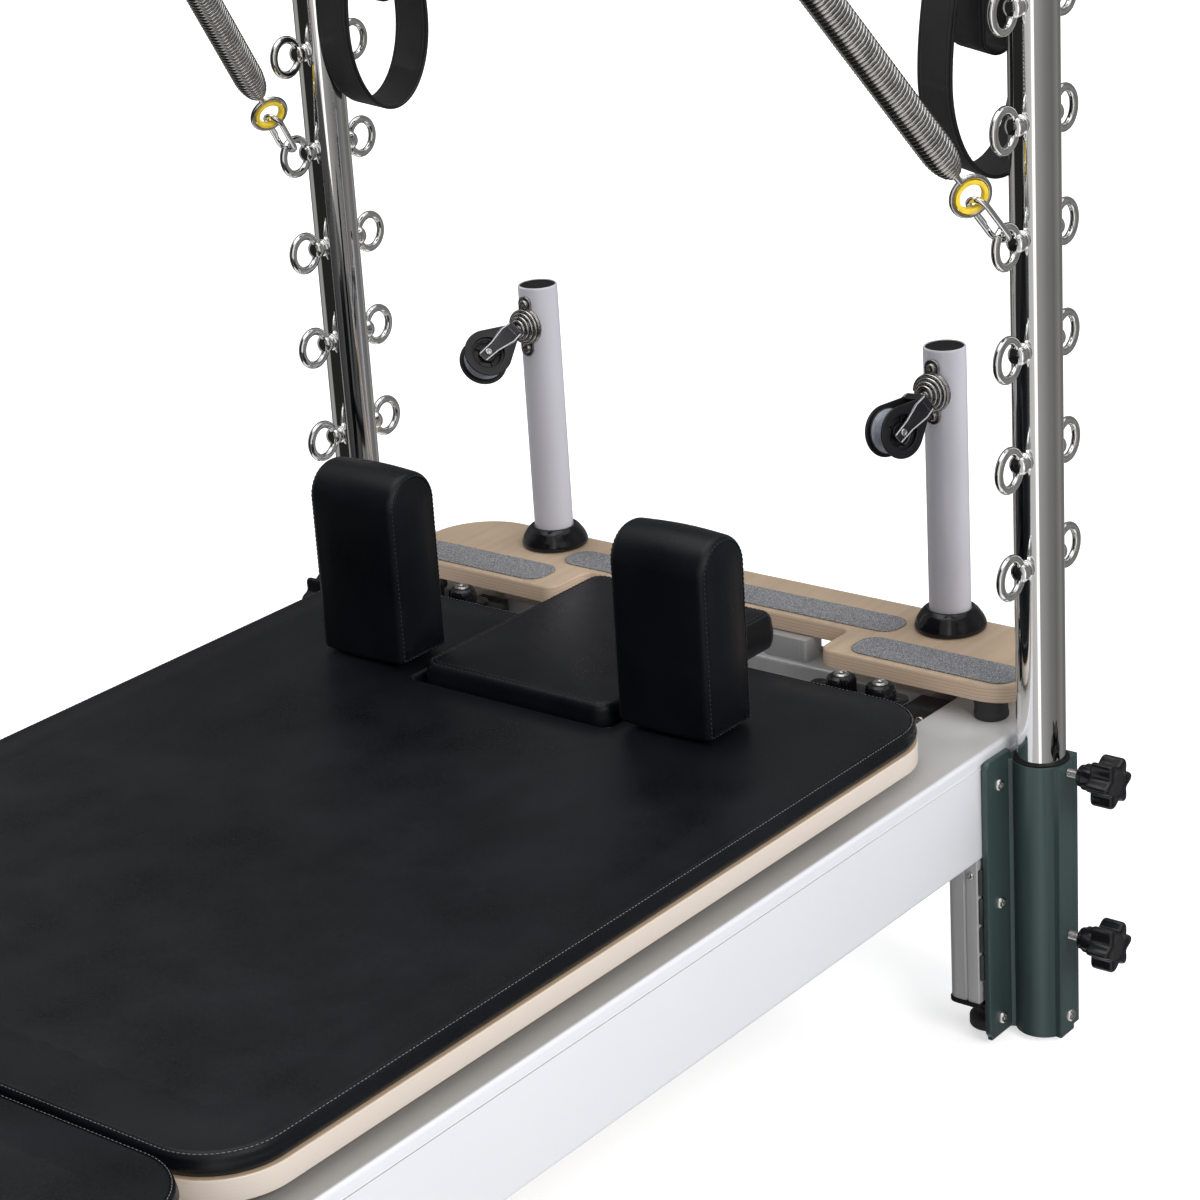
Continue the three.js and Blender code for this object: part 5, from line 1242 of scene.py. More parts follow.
def hold_of(pad, points):
    """How firmly each point of a cushion is held, from 0 to 1: by what it stands on, and near its seams."""
    local = points @ AXES[pad["axes"]].T
    off = distance_to(pad["outline"], local[:, :2]) - pad["roll"]
    seam = pad["high"] - pad["slack"] - pad["crown"]
    seams = [seam, pad["low"] + pad["high"] - seam] if pad["both"] else [seam]
    away = np.min([np.hypot(off, local[:, 2] - s) for s in seams], axis=0)
    return np.maximum(0.9 * np.exp(-(away / pad["grip"]) ** 2), (points[:, 2] < pad["foot"]) * 1.0)


def vertex_places(mesh):
    """The places of a mesh's vertices in metres."""
    places = np.empty(len(mesh.vertices) * 3)
    mesh.vertices.foreach_get("co", places)
    return places.reshape(-1, 3)


def simulate(pad, surface):
    """Cloth under pressure: the cushion remeshed to even voxels, blown up without gravity for 20 frames,
    held at its foot and seams. Gives the points it started from and how far each moved, capped."""
    mesh = new_mesh("cloth_start", surface)
    finish_mesh(mesh, 180)
    cloth = new_object("cloth_start", mesh)
    even = cloth.modifiers.new("even", "REMESH")
    even.mode = "VOXEL"
    even.voxel_size = pad["voxel"] / 1000
    evaluated = cloth.evaluated_get(bpy.context.evaluated_depsgraph_get())
    remeshed = bpy.data.meshes.new_from_object(evaluated)
    cloth.modifiers.clear()
    cloth.data = remeshed
    start = vertex_places(remeshed)
    machine = start * 1000 + [MACHINE_CENTRE, 0, 0]
    weights = np.round(hold_of(pad, machine), 2)
    group = cloth.vertex_groups.new(name="held")
    for weight in np.unique(weights):
        group.add(np.flatnonzero(weights == weight).tolist(), float(weight), "REPLACE")
    settings = cloth.modifiers.new("cloth", "CLOTH").settings
    settings.quality = 4
    settings.use_pressure = True
    settings.uniform_pressure_force = PRESSURE
    settings.vertex_group_mass = "held"
    settings.effector_weights.gravity = 0.0
    settings.bending_stiffness = 3.0
    scene = bpy.context.scene
    for frame_number in range(1, 21):
        scene.frame_set(frame_number)
    end = vertex_places(cloth.evaluated_get(bpy.context.evaluated_depsgraph_get()).to_mesh())
    moves = (end - start) * 1000
    cloth.modifiers.clear()
    scene.frame_set(1)
    bpy.data.objects.remove(cloth)
    bpy.data.meshes.remove(mesh)
    bpy.data.meshes.remove(remeshed)
    length = np.linalg.norm(moves, axis=1, keepdims=True)
    return machine, moves * np.minimum(1.0, pad["cap"] / np.maximum(length, 1e-9))


def carried_over(points, start, moves, batch=400, near=8):
    """The simulated moves at other points: the mean of the nearest starting points' moves, each weighted by
    one over its squared distance plus 4."""
    moved = np.empty_like(points)
    square = np.sum(start * start, 1)
    for first in range(0, len(points), batch):
        p = points[first:first + batch]
        gap = np.sum(p * p, 1)[:, None] + square - 2 * p @ start.T
        pick = np.argpartition(gap, near, axis=1)[:, :near]
        share = 1.0 / (np.take_along_axis(gap, pick, 1) + 4.0)
        moved[first:first + batch] = np.sum(moves[pick] * share[..., None], 1) / share.sum(1)[:, None]
    return moved


# The headrest covers the stitches head-ward of this x and nearer the middle than this y.
COVERED = {"x": -235.0, "y": 112.0}
STITCH = {"along": [-0.5, -0.40, 0.0, 0.40, 0.5], "size": [0.25, 0.85, 1.0, 0.85, 0.25],
          "lift": [-0.85, 0.05, 0.40, 0.05, -0.85], "sides": 6}


def stitches(rows, at, pitch, length, radius):
    """Thread along one row of a cushion: every `pitch` millimetres a short capsule of five rings lies along
    the row, its ends sunk in the leather. rows is (rows, columns, 3); up is the surface's cross product."""
    path = rows[at]
    up = unit(np.cross(np.roll(path, -1, 0) - np.roll(path, 1, 0), rows[at + 1] - rows[at - 1]))
    out = path - rows.reshape(-1, 3).mean(0)
    up = up * (1.0 if np.mean(np.sum(up * out, 1)) > 0 else -1.0)
    loop, ups = np.concatenate([path, path[:1]]), np.concatenate([up, up[:1]])
    run = np.concatenate([[0], np.cumsum(np.linalg.norm(np.diff(loop, axis=0), axis=1))])

    def at_run(values, s):
        return np.stack([np.interp(s, run, values[:, k]) for k in range(3)], 1)

    count = int(run[-1] / pitch)
    place = (np.arange(count) + 0.5) * run[-1] / count
    spot = at_run(loop, place)
    seen = (spot[:, 0] < COVERED["x"]) | (np.abs(spot[:, 1]) > COVERED["y"])
    place = place[seen] if seen.any() else place
    centre, ahead = at_run(loop, place), unit(at_run(loop, place + 0.4) - at_run(loop, place - 0.4))
    n = unit(at_run(ups, place))
    side = np.cross(n, ahead)
    station, height = np.array(STITCH["along"]) * length, np.array(STITCH["lift"]) * radius
    size, sides = np.array(STITCH["size"]) * radius, STITCH["sides"]
    axis = centre[:, None] + ahead[:, None] * station[:, None] + n[:, None] * height[:, None]
    turn = circle(sides)
    ring = turn[:, :1] * side[:, None, None] + turn[:, 1:] * n[:, None, None]
    points = axis[:, :, None] + ring * size[:, None, None]
    one = grid_faces(len(size), sides, wrap_columns=True)
    ends = np.stack([np.arange(sides)[::-1], np.arange(sides) + (len(size) - 1) * sides])
    shift = (np.arange(len(place)) * len(size) * sides)[:, None, None]
    return points.reshape(-1, 3), [(one + shift).reshape(-1, 4), (ends + shift).reshape(-1, sides)]


def upholster(name, node, body, pad, threads):
    (local, faces), shape = cushion(pad)
    points = local @ AXES[pad["axes"]]
    held = hold_of(pad, points)[:, None]
    moved = carried_over(points, *simulate(pad, (points, faces))) * (1 - held ** 2)
    low, high = np.array(pad["space"], float)
    points = np.clip(points + moved, low + 0.05, high - 0.05)
    made = piece(name, (points, faces), vinyl, body, node, 70)
    if pad["smooth"]:
        smooth = made.modifiers.new("smooth", "SUBSURF")
        smooth.levels = smooth.render_levels = pad["smooth"]
    rows = points[:shape[0] * shape[1]].reshape(*shape, 3)
    for label, at, material, pitch, length, radius in threads:
        piece(f"{name}_{label}", stitches(rows, at, pitch, length, radius), material, body,
              angle=180)


# Carriage. Each cushion's numbers: the roll and crown of its edge, the swell of its side and its draw at the
# foot, the slack its pressure may take up, the ease of its dome, the grip of its seams, the spacing of its
# points, and the voxel and cap of its simulation.

RIDE = {"low": 272.0, "high": 289.7, "half": 318.4, "head": -69.0, "foot": -891.0, "round": 58.0}
MAT = {"head": -892.4, "foot": -1480.0}
FLAT = {"low": 290.0, "high": 311.0, "foot": 292.0, "both": False, "axes": "z", "roll": 5.0, "crown": 2.2,
        "swell": 1.3, "draw": 2.4, "slack": 2.2, "ease": 26.0, "grip": 9.0, "spacing": 13.0, "voxel": 10.0,
        "cap": 2.2, "smooth": 0}
HEADREST = {"low": 290.0, "high": 326.0, "foot": 292.0, "both": False, "axes": "z", "roll": 7.0, "crown": 3.0,
            "swell": 1.4, "draw": 2.0, "slack": 2.6, "ease": 22.0, "grip": 7.0, "spacing": 9.0, "voxel": 5.5,
            "cap": 3.2, "smooth": 1}
SHOULDER = {"foot": 313.0, "both": True, "axes": "y", "roll": 6.5, "crown": 4.2, "swell": 1.6, "slack": 2.4,
            "ease": 12.0, "grip": 6.0, "spacing": 6.0, "voxel": 4.5, "cap": 3.6, "smooth": 1}


def ply_board(name, node, outline):
    """A pale plywood board of the carriage with rolled edges."""
    board = slab(outline, RIDE["low"], RIDE["high"], 1.2)
    piece(name, board, pale_ply, "carriage", node, 35)


def flat_cushion(name, node, outline, foot, head):
    """A thin cushion on a board, stitched once round its edge."""
    pad = dict(FLAT, outline=evenly(outline, 7.0),
               space=[(foot, -RIDE["half"], FLAT["low"]), (head, RIDE["half"], FLAT["high"])])
    upholster(name, node, "carriage", pad, [("thread", 8, thread, 3.6, 2.5, 0.22)])


def carriage_board():
    """The carriage's board, with two tabs at its head."""
    foot, head, half, turn = RIDE["foot"], RIDE["head"], RIDE["half"], RIDE["round"]
    outline = both_sides([(foot, half, turn), (head, half, turn), (head, 260, 0.8), (-30, 260, 8),
                          (-30, 168, 8), (head, 168, 0.8)])
    ply_board("carriage_ply", "carriage_board", outline)


def dark_covers():
    """Black moulded caps over the board's two head tabs, and the black plate under the headrest."""
    parts = [slab(oblong(-68.8, -29.7, s * 214 - 46.3, s * 214 + 46.3, (1, 8, 8, 1), 0.8), 271.8, 290.3, 1.0)
             for s in SIDES.values()]
    parts.append(slab(oblong(-230, -69.6, -102, 102, 2, 0.8), 289.5, 289.98, 0.2, steps=2))
    piece("board_covers", join(*parts), cap_black, "carriage")


def carriage_pad():
    """The carriage's cushion, notched for the headrest."""
    foot, head, half, turn = RIDE["foot"], RIDE["head"], RIDE["half"], RIDE["round"]
    notched = both_sides([(foot, half, turn), (head, half, turn), (head, 101.5, 3), (-229.5, 101.5, 3)])
    flat_cushion("carriage_cushion", "carriage_pad", notched, foot, head)


def mat():
    """The mat that goes on from the carriage's foot: board, two rubber runners and cushion."""
    outline = both_sides([(x, RIDE["half"], RIDE["round"]) for x in (MAT["foot"], MAT["head"])])
    ply_board("mat_ply", "mat_board", outline)
    for name, s in SIDES.items():
        runner = oblong(-1422, -950.4, s * 284 - 16, s * 284 + 16, 5, 1.0)
        piece(f"mat_runner_{name}", slab(runner, 265.3, 272.0, 0.8), rubber, "carriage")
    flat_cushion("mat_cushion", "mat_pad", outline, MAT["foot"], MAT["head"])


def headrest_cushion():
    """The headrest: an oblong cushion with a stitch line on each side of its seam."""
    pad = dict(HEADREST, outline=evenly(oblong(-228, 16, -100, 100, 16, 1.6), 4.0),
               space=[(-228, -100, 290), (16, 100, 326)])
    threads = [("thread_inner", 2, dark_thread, 4.4, 2.8, 0.32),
               ("thread_outer", 8, dark_thread, 4.4, 2.8, 0.32)]
    upholster("headrest_cushion", "headrest", "headrest_pad", pad, threads)


def shoulder_cushion(name):
    """An upright shoulder rest with a panel on both faces, rounded at its top, stitched along both seams."""
    low, high = sorted((SIDES[name] * 107.0, SIDES[name] * 212.0))
    pad = dict(SHOULDER, low=low, high=high, space=[(-232, low, 311.3), (-171, high, 478)],
               outline=evenly(oblong(311.3, 478, -232, -171, (6, 29.8, 29.8, 6), 1.4), 3.5))
    rows = len(cushion_rows(pad)[0])
    threads = [("thread_high", 8, dark_thread, 4.0, 2.6, 0.30),
               ("thread_low", rows - 9, dark_thread, 4.0, 2.6, 0.30)]
    upholster(f"shoulder_cushion_{name}", f"shoulder_rest_{name}", "carriage", pad, threads)


CLEAT = {"x": -48.0, "y": 224.0, "radius": 12.4, "teeth": 1.1}


def cam_form(y, base, profile, toward):
    """A domed cam from rows of (share of the radius, height). Within 1.1 radians of the direction `toward`
    the radius is 12.4 - 1.1*(a saw of four points a tooth), elsewhere 12.4 - 0.54*cos(t - toward - 0.6)."""
    count = 96
    t = np.linspace(0, TURN, count, endpoint=False)
    saw = np.abs(np.arange(count) / 2 % 2 - 1)
    off = np.abs((t - toward + np.pi) % TURN - np.pi)
    radius = CLEAT["radius"] - np.where(off < 1.1, CLEAT["teeth"] * saw, 0.54 * np.cos(t - toward - 0.6))
    rows = profile[:, 0, None, None] * radius[:, None] * circle(count) + [CLEAT["x"], y]
    return grid(raised(rows, base + profile[:, 1]), wrap_columns=True)


def cleat(name):
    """Two domed cams with toothed inner sides, each on its screw, on one base plate."""
    x, middle = CLEAT["x"], SIDES[name] * CLEAT["y"]
    parts = [slab(oblong(x - 16, x + 16, middle - 40, middle + 40, 9, 0.8), 290.3, 294.3, 1.0)]
    profile = soften([[0, 0], [1, 0], [1, 7.4], [0.93, 10.6], [0.72, 12.6], [0.44, 13], [0, 13]], 0.5)
    screws = []
    for k in (-1, 1):
        y = middle + k * 19
        parts.append(cam_form(y, 294.2, profile, -k * QUARTER))
        screws.append(lathe([[0, 0], [5.4, 0], [5.4, 0.7], [4.6, 1.1], [2.9, 1.15], [2.5, 0.2], [0, 0.1]],
                            0.2, (x, y, 307.0), UP, 30))
        screws.append(hoop((x, y, 307.1), UP, 6.1, 0.5, 30, 8))
    parts += [lathe([[0, 0], [4.2, 0], [4.0, 1.6], [0, 2.0]], 0.5, (x, middle + off, 294.0), UP, 20)
              for off in (-35.5, 35.5)]
    piece(f"cleat_{name}", join(*parts), gloss_black, "carriage", f"cam_cleat_{name}", 45)
    piece(f"cleat_screws_{name}", join(*screws), steel, "carriage")


AXLES = {"head": -170.0, "foot": -790.0}
AXLE_Z = 236.3


def truck():
    """Underframe: two side rails with rounded ends and axle bosses, tied by two flat plates."""
    parts = []
    for s in SIDES.values():
        parts.append(slab(oblong(224, 271.7, -870, -90, (9, 3, 3, 9), 1.0), s * 196.0, s * 214.0, 1.2, "y"))
        for x in AXLES.values():
            parts.append(lathe([[6.3, 0], [11.5, 0], [11.5, 3.0], [9.5, 4.2], [6.3, 4.2], [6.3, 0]], 0.5,
                               (x, s * 213.8, AXLE_Z), (0, s, 0), 36))
        for x in (-250.0, -420.0, -540.0, -700.0):
            parts.append(button_screw((x, s * 213.9, 252.0), (0, s, 0), 5.0, 3.0))
    for x in AXLES.values():
        parts.append(slab(oblong(x - 60, x + 60, -196.4, 196.4, 2, 0.8), 262.0, 271.7, 0.8))
    piece("carriage_underframe", join(*parts), leg_grey, "carriage", "carriage_truck")


def wheels(end):
    """A plain axle with softened ends, and two wheels: a steel hub inside a rounded tyre."""
    x = AXLES[end]
    rod = soften([[4.2, -254.4], [6.0, -254.2], [6.0, 254.2], [4.2, 254.4]], 0.3)[1:-1]
    rod = np.concatenate([[[0, -254.2]], rod, [[0, 254.2]]])
    parts, tyres = [revolve(rod, (x, 0, AXLE_Z), ACROSS, 32)], []
    for s in SIDES.values():
        for face, way in ((s * 254.0, -s), (s * 239.0, s)):
            parts.append(lathe([[5.8, 0.4], [16.6, 0.4], [16.6, 1.4], [13.5, 2.6], [9, 3.0], [8, 1.4],
                                [5.8, 1.4], [5.8, 0.4]], 0.3, (x, face, AXLE_Z), (0, way, 0), 40))
        tyres.append(lathe([[16.4, 0], [20.6, 0], [22.0, 2.0], [22.0, 13.0], [20.6, 15.0], [16.4, 15.0],
                            [16.4, 0]], 0.9, (x, s * 239.0, AXLE_Z), (0, s, 0)))
    piece(f"axle_{end}", join(*parts), steel, f"wheels_{end}", f"wheelset_{end}")
    piece(f"tyres_{end}", join(*tyres), rubber, f"wheels_{end}")


carriage_board()
dark_covers()
carriage_pad()
mat()
headrest_cushion()
truck()
for side_name in SIDES:
    shoulder_cushion(side_name)
    cleat(side_name)
for axle_end in AXLES:
    wheels(axle_end)


# Posts, eye plates and pulley blocks

POST = {"x": 101.0, "y": 217.0, "foot": 299.3, "top": 549.6, "eye": 514.5, "face": 82.6}


def post(name):
    """Post: tube with a rounded rim, a cap sunk flush in its end, and a flared collar at its foot."""
    centre = (POST["x"], SIDES[name] * POST["y"], 0)
    foot, top = POST["foot"], POST["top"]
    upright = lathe([[16.4, foot], [18, foot], [18, top - 1.2], [17.2, top], [16.4, top], [16.3, 546.0],
                     [16.4, foot]], 0.5, centre, UP, 96)
    piece(f"post_tube_{name}", upright, post_white, "bed", f"post_{name}", 50)
    cap = lathe([[0, 533], [15.4, 533], [15.6, 534], [16.2, 547.4], [16.35, 548.6], [15.2, 549.3],
                 [12.5, 548.7], [0, 548.5]], 0.7, centre, UP)
    piece(f"post_plug_{name}", cap, cap_black, "bed", f"post_cap_{name}", 50)
    flare = lathe([[18.2, 299.4], [29.6, 299.4], [31.0, 300.6], [31.0, 303.6], [29.0, 308.6], [24.6, 315.0],
                   [21.6, 317.7], [20.0, 318.3], [18.5, 318.0], [18.2, 317.0], [18.2, 299.4]], 1.6,
                  centre, UP, 96, 6)
    piece(f"collar_{name}", flare, gloss_black, "bed", f"post_collar_{name}", 60)


def cone_spring(y, z):
    """Cone spring over the swivel: its radius falls evenly from 16.0 to 6.4 mm over 3.7 turns, while it
    climbs by the 1.2th power of the turn."""
    wire, climb = 1.2, 9.6
    t = np.linspace(0, 1, 340)
    x = 79.0 - wire - climb * t ** 1.2
    radius, angle = 16.0 - climb * t, t * 3.7 * TURN
    path = np.stack([x, y + radius * np.cos(angle), z + radius * np.sin(angle)], 1)
    return tube(path, wire, 10, round_ends=0.5)


def eye_plate(name):
    """Stainless plate with round ends and two screws, a dished seat, the swivel stud and the cone spring."""
    y, z, face = SIDES[name] * POST["y"], POST["eye"], POST["face"]
    out = (-1, 0, 0)
    parts = [slab(oblong(y - 7, y + 7, z - 28, z + 28, 6.9, 0.7), face - 2.7, face, 0.7, "x"),
             lathe([[0, 0], [17.0, 0], [17.0, 1.8], [15.6, 3.2], [13.2, 3.0], [12.0, 2.0], [6.0, 1.8],
                    [5.2, 3.4], [4.4, 4.0], [0, 4.0]], 0.6, (face, y, z), out),
             lathe([[0, 0], [3.9, 0], [3.9, 8.6], [3.2, 9.4], [3.2, 10.6], [4.0, 11.2], [4.0, 13.4],
                    [3.0, 14.3], [0, 14.4]], 0.4, (face, y, z), out, 40)]
    parts += [button_screw((face - 2.6, y, z + off), out, 4.5, 2.5) for off in (-20.5, 20.5)]
    piece(f"swivel_plate_{name}", join(*parts), stainless, "bed", f"eye_plate_{name}", 45)
    piece(f"cone_spring_{name}", cone_spring(y, z), steel, "bed", angle=60)


JOINTS = {joint["name"]: joint for joint in frame["joints"]}
CHEEK = {"radius": 22.0, "tail": -36.6, "neck": 7.5, "inner": 9.3, "outer": 12.3, "window": 14.6}


def block_frame(name):
    """The pulley block's directions (along, side, axle), from its swivel's and its wheel's joints, and the
    machine millimetres of its axle."""
    wheel = JOINTS[f"sheave_{name}_spin"]
    along, axle = unit(JOINTS[f"block_{name}_swivel"]["axis"]), unit(wheel["axis"])
    centre = np.array(wheel["pos_m"]) * 1000 + [MACHINE_CENTRE, 0, 0]
    return np.stack([along, np.cross(axle, along), axle]), centre


def teardrop(radius, tail, neck):
    """Cheek outline: a circle about the axle that runs tangent down to the two corners of the neck."""
    tangent = np.arctan2(neck, tail) - np.arccos(radius / np.hypot(tail, neck))
    t = np.linspace(-tangent, tangent, 49)
    arc = radius * np.stack([np.cos(t), np.sin(t)], 1)
    ends = rounded([(tail, neck, 2.5), (tail, -neck, 2.5), (0, 0, 0)], 0.6)
    ends = ends[np.linalg.norm(ends, axis=1) > 1]
    return evenly(np.concatenate([arc, ends[np.argsort(-ends[:, 1])]]), 1.5)


def ring_plate(outline, hole, low, high, edge, axes, origin):
    """A plate with a round hole: every outline point has its partner on the circle in the same direction;
    both edges are rolled over by `edge`."""
    low, high = sorted((low, high))
    spoke = unit(outline)
    insets, depths = rolled(edge, 4)
    both = (*insets[::-1], *insets)
    rows = np.stack([inset(outline, i) for i in both] + [spoke * (hole + i) for i in both])
    heights = np.concatenate([low + depths[::-1], high - depths, high - depths[::-1], low + depths])
    return grid(raised(rows, heights) @ axes + origin, wrap_rows=True, wrap_columns=True)


def cheek_side(k, axes, centre):
    """One side of the block, k times out from its middle: the ring cheek, its metal strap, two thin pale
    tubes along the strap's edges that are painted highlights, and the axle's rivet."""
    c = CHEEK
    inner, outer, face = k * c["inner"], k * c["outer"], k * (c["outer"] + 0.35)
    outline = teardrop(c["radius"], c["tail"] + 0.6, c["neck"])
    cheek = ring_plate(outline, c["window"], inner, outer - k * 0.7, 0.9, axes, centre)
    half = [(c["tail"], -c["neck"], 1.5), (-23, -9.0, 9), (-9, -5.4, 8), (8.2, -4.6, 0.9)]
    strap_bar = slab(both_sides(half, 0.8), outer - k * 1.4, face, 0.45, axes, centre, steps=3)
    # Painted highlights: two thin pale tubes along the strap's edges stand in for the glint on its bevels.
    along = np.linspace(-34.5, 7.4, 40)
    out = np.interp(along, [-34.5, -25, -16, -8, 7.4], [6.9, 7.8, 6.1, 4.7, 4.1])
    lines = [tube(np.stack([along, edge * out, np.full(40, face)], 1) @ axes + centre, 0.55, 8)
             for edge in (-1, 1)]
    rivet = lathe([[0, 0], [3.2, 0], [3.2, 0.7], [2.6, 1.3], [1.7, 1.35], [1.3, 0.8], [0, 0.7]], 0.2,
                  centre + axes[2] * k * (c["outer"] + 0.3), axes[2] * k, 32)
    return cheek, strap_bar, lines, rivet


def pulley_block(name):
    """Two moulded ring cheeks joined by a bent metal strap that runs from the neck to the axle's rivet."""
    axes, centre = block_frame(name)
    c = CHEEK
    cheeks, straps, lines, pins = zip(*(cheek_side(k, axes, centre) for k in (-1, 1)))
    neck = oblong(-12.6, 12.6, -c["neck"], c["neck"], 2.2, 0.5)
    upended = np.stack([axes[2], axes[1], -axes[0]])
    bridge = slab(neck, -c["tail"] - 6.0, -c["tail"] + 0.4, 0.8, upended, centre)
    pin = lathe([[0, 0], [3.1, 0], [3.1, 18.4], [0, 18.4]], 0.3, centre - axes[2] * 9.2, axes[2], 24)
    stem = lathe([[0, 33.0], [5.0, 33.0], [5.2, 37.0], [3.4, 37.6], [3.2, 38.6], [4.0, 39.2], [4.0, 40.6],
                  [2.6, 41.6], [0, 41.8]], 0.4, centre, -axes[0], 32)
    body = f"block_{name[0]}"
    piece(f"block_cheeks_{name}", join(*cheeks), block_black, body, f"pulley_block_{name}", 45)
    piece(f"block_strap_{name}", join(*straps, bridge), strap_metal, body, angle=35)
    # Painted highlights: the pale tubes along the strap's edges.
    piece(f"block_edge_highlights_{name}", join(*lines[0], *lines[1]), post_white, body, angle=60)
    piece(f"block_pins_{name}", join(*pins, pin, stem), steel, body, angle=45)


def sheave(name):
    """Wheel whose round rope groove is 16.2 + 2.4*t*t in radius, raised rims, a sunk dark web with five ribs,
    and a hub."""
    axes, centre = block_frame(name)
    body = f"sheave_{name[0]}"
    t = np.linspace(-1, 1, 15)
    groove = np.stack([16.2 + 2.4 * t ** 2, t * 6.9], 1)
    profile = np.concatenate([[[12.6, -6.9]], groove, [[12.6, 6.9], [12.6, -6.9]]])
    piece(f"sheave_wheel_{name}", lathe(profile, 0.35, centre, axes[2], 72, 3), sheave_grey, body,
          f"pulley_sheave_{name}", 50)
    parts = [lathe([[3.6, -8.3], [7.4, -8.3], [7.8, -5.0], [12.8, -4.6], [12.8, 4.6], [7.8, 5.0], [7.4, 8.3],
                    [3.6, 8.3], [3.6, -8.3]], 0.5, centre, axes[2], 56)]
    parts += [lathe([[12.4, 6.8], [18.8, 6.8], [19.45, 7.4], [19.45, 8.0], [18.9, 8.45], [13.0, 8.3],
                     [12.4, 7.6], [12.4, 6.8]], 0.3, centre, axes[2] * k, 72, 3) for k in (-1, 1)]
    rib = oblong(-2.8, 2.8, -0.8, 0.8, 0.3, 0.4)
    for c, s in circle(5):
        spoke = c * axes[0] + s * axes[1]
        rib_axes = np.stack([spoke, c * axes[1] - s * axes[0], axes[2]])
        parts.append(slab(rib, -7.4, 7.4, 0.3, rib_axes, centre + 10.2 * spoke, steps=2))
    piece(f"sheave_web_{name}", join(*parts), block_black, body, angle=45)


for side_name in SIDES:
    post(side_name)
    eye_plate(side_name)
    pulley_block(side_name)
    sheave(side_name)


# Webbing straps: a long loop, a folded cuff and a hanger sewn together

STRAP_Y, STRAP_X = 311.0, 14.0
STRAP_TURN = {"right": 0.48, "left": 0.26}
WEB = {"half": 25.0, "thick": 3.4}
HANGER = {"y": 315.0, "half": 7.0, "thick": 2.6}
LOOP = {"belly": (41, 75), "low": 800, "top": 990, "fold": 17}
CUFF = {"radius": 12.0, "low": 831.5, "top": 982.0}


def bezier(a, b, c, d, count=24):
    """Cubic Bezier curve through a and d with the two control points between."""
    t = np.linspace(0, 1, count)[:, None]
    a, b, c, d = (np.asarray(v, float) for v in (a, b, c, d))
    return (1 - t) ** 3 * a + 3 * t * (1 - t) ** 2 * b + 3 * t ** 2 * (1 - t) * c + t ** 3 * d


def turned(surface, name):
    """The strap's loop hangs a little turned about the upright line through its middle."""
    c, s = np.cos(STRAP_TURN[name]), np.sin(STRAP_TURN[name])
    middle = [STRAP_X, SIDES[name] * STRAP_Y, 0]
    return (surface[0] - middle) @ np.array([[c, -s, 0], [s, c, 0], [0, 0, 1]]) + middle, surface[1]


def band(path, y, half, thickness):
    """A closed band of webbing: the path runs in (x, z); the section is as wide as 2*half along y, with
    rounded edges of half the thickness. Gives the surface and its UV in metres, across and along, and its
    length."""
    ahead = unit(np.roll(path, -1, 0) - np.roll(path, 1, 0))
    normal = np.stack([-ahead[:, 1], ahead[:, 0]], 1)
    e = thickness / 2
    q = np.linspace(-QUARTER, QUARTER, 7)
    flat = np.linspace(0.96, -0.96, 7)
    across = np.concatenate([(half - e) + e * np.cos(q), (half - e) * flat,
                             -(half - e) - e * np.cos(q), (half - e) * flat[::-1]])
    out = np.concatenate([e * np.sin(q), np.full(7, e), -e * np.sin(q), np.full(7, -e)])
    run = np.concatenate([[0], np.cumsum(np.linalg.norm(np.diff(path, axis=0), axis=1))])
    middle = path[:, None] + normal[:, None] * out[None, :, None]
    points = np.stack(np.broadcast_arrays(middle[..., 0], y + across, middle[..., 1]), -1)
    uv = np.stack(np.broadcast_arrays((across + half)[None] / 1000, run[:, None] / 1000), -1)
    return grid(points, wrap_rows=True, wrap_columns=True), uv.reshape(-1, 2), run[-1]


def loop_path():
    """The long loop: an elliptic belly below, sides that close towards the neck, a small fold at the top."""
    x, (wide, deep), low, top, fold = STRAP_X, LOOP["belly"], LOOP["low"], LOOP["top"], LOOP["fold"]
    t = np.linspace(np.pi, TURN, 49)[1:-1]
    belly = np.stack([x + wide * np.cos(t), low + deep * np.sin(t)], 1)
    right = bezier((x + wide, low), (x + wide, low + 58), (x + fold + 2, 930), (x + fold, top))
    left = (right * [-1, 1] + [2 * x, 0])[::-1]
    over = bezier((x + fold, top), (x + 16.6, top + 9), (x - 16.6, top + 9), (x - fold, top), 14)[1:-1]
    return np.concatenate([belly, right, over, left])


def cuff_path():
    """The folded cuff inside the loop: two straight sides round a half circle at the foot."""
    x, r, top = STRAP_X, CUFF["radius"], CUFF["top"]
    t = np.linspace(np.pi, TURN, 25)
    foot = np.stack([x + r * np.cos(t), CUFF["low"] + r * np.sin(t)], 1)
    rise = np.linspace(0, 1, 12)[:, None]
    right = foot[-1] + rise[1:] * (np.array([x + r, top]) - foot[-1])
    over = bezier((x + r, top), (x + r, top + 9), (x - r, top + 9), (x - r, top), 12)[1:-1]
    left = np.array([x - r, top]) + rise[1:-1] * (foot[0] - np.array([x - r, top]))
    return np.concatenate([foot, right, over, left])


def hanger_path():
    """The hanger: round the top of the ring's wire and down both sides to the neck."""
    wire, high, neck = 6.2, 1134.5, 996
    t = np.linspace(0, np.pi, 21)
    over = np.stack([wire * np.cos(t), high + wire * np.sin(t)], 1)
    left = bezier((-wire, high), (-wire, 1100), (STRAP_X - 2, 1040), (STRAP_X - 2, neck), 20)[1:]
    right = bezier((STRAP_X + 2, neck), (STRAP_X + 2, 1040), (wire, 1100), (wire, high), 20)[:-1]
    return np.concatenate([over, left, right])


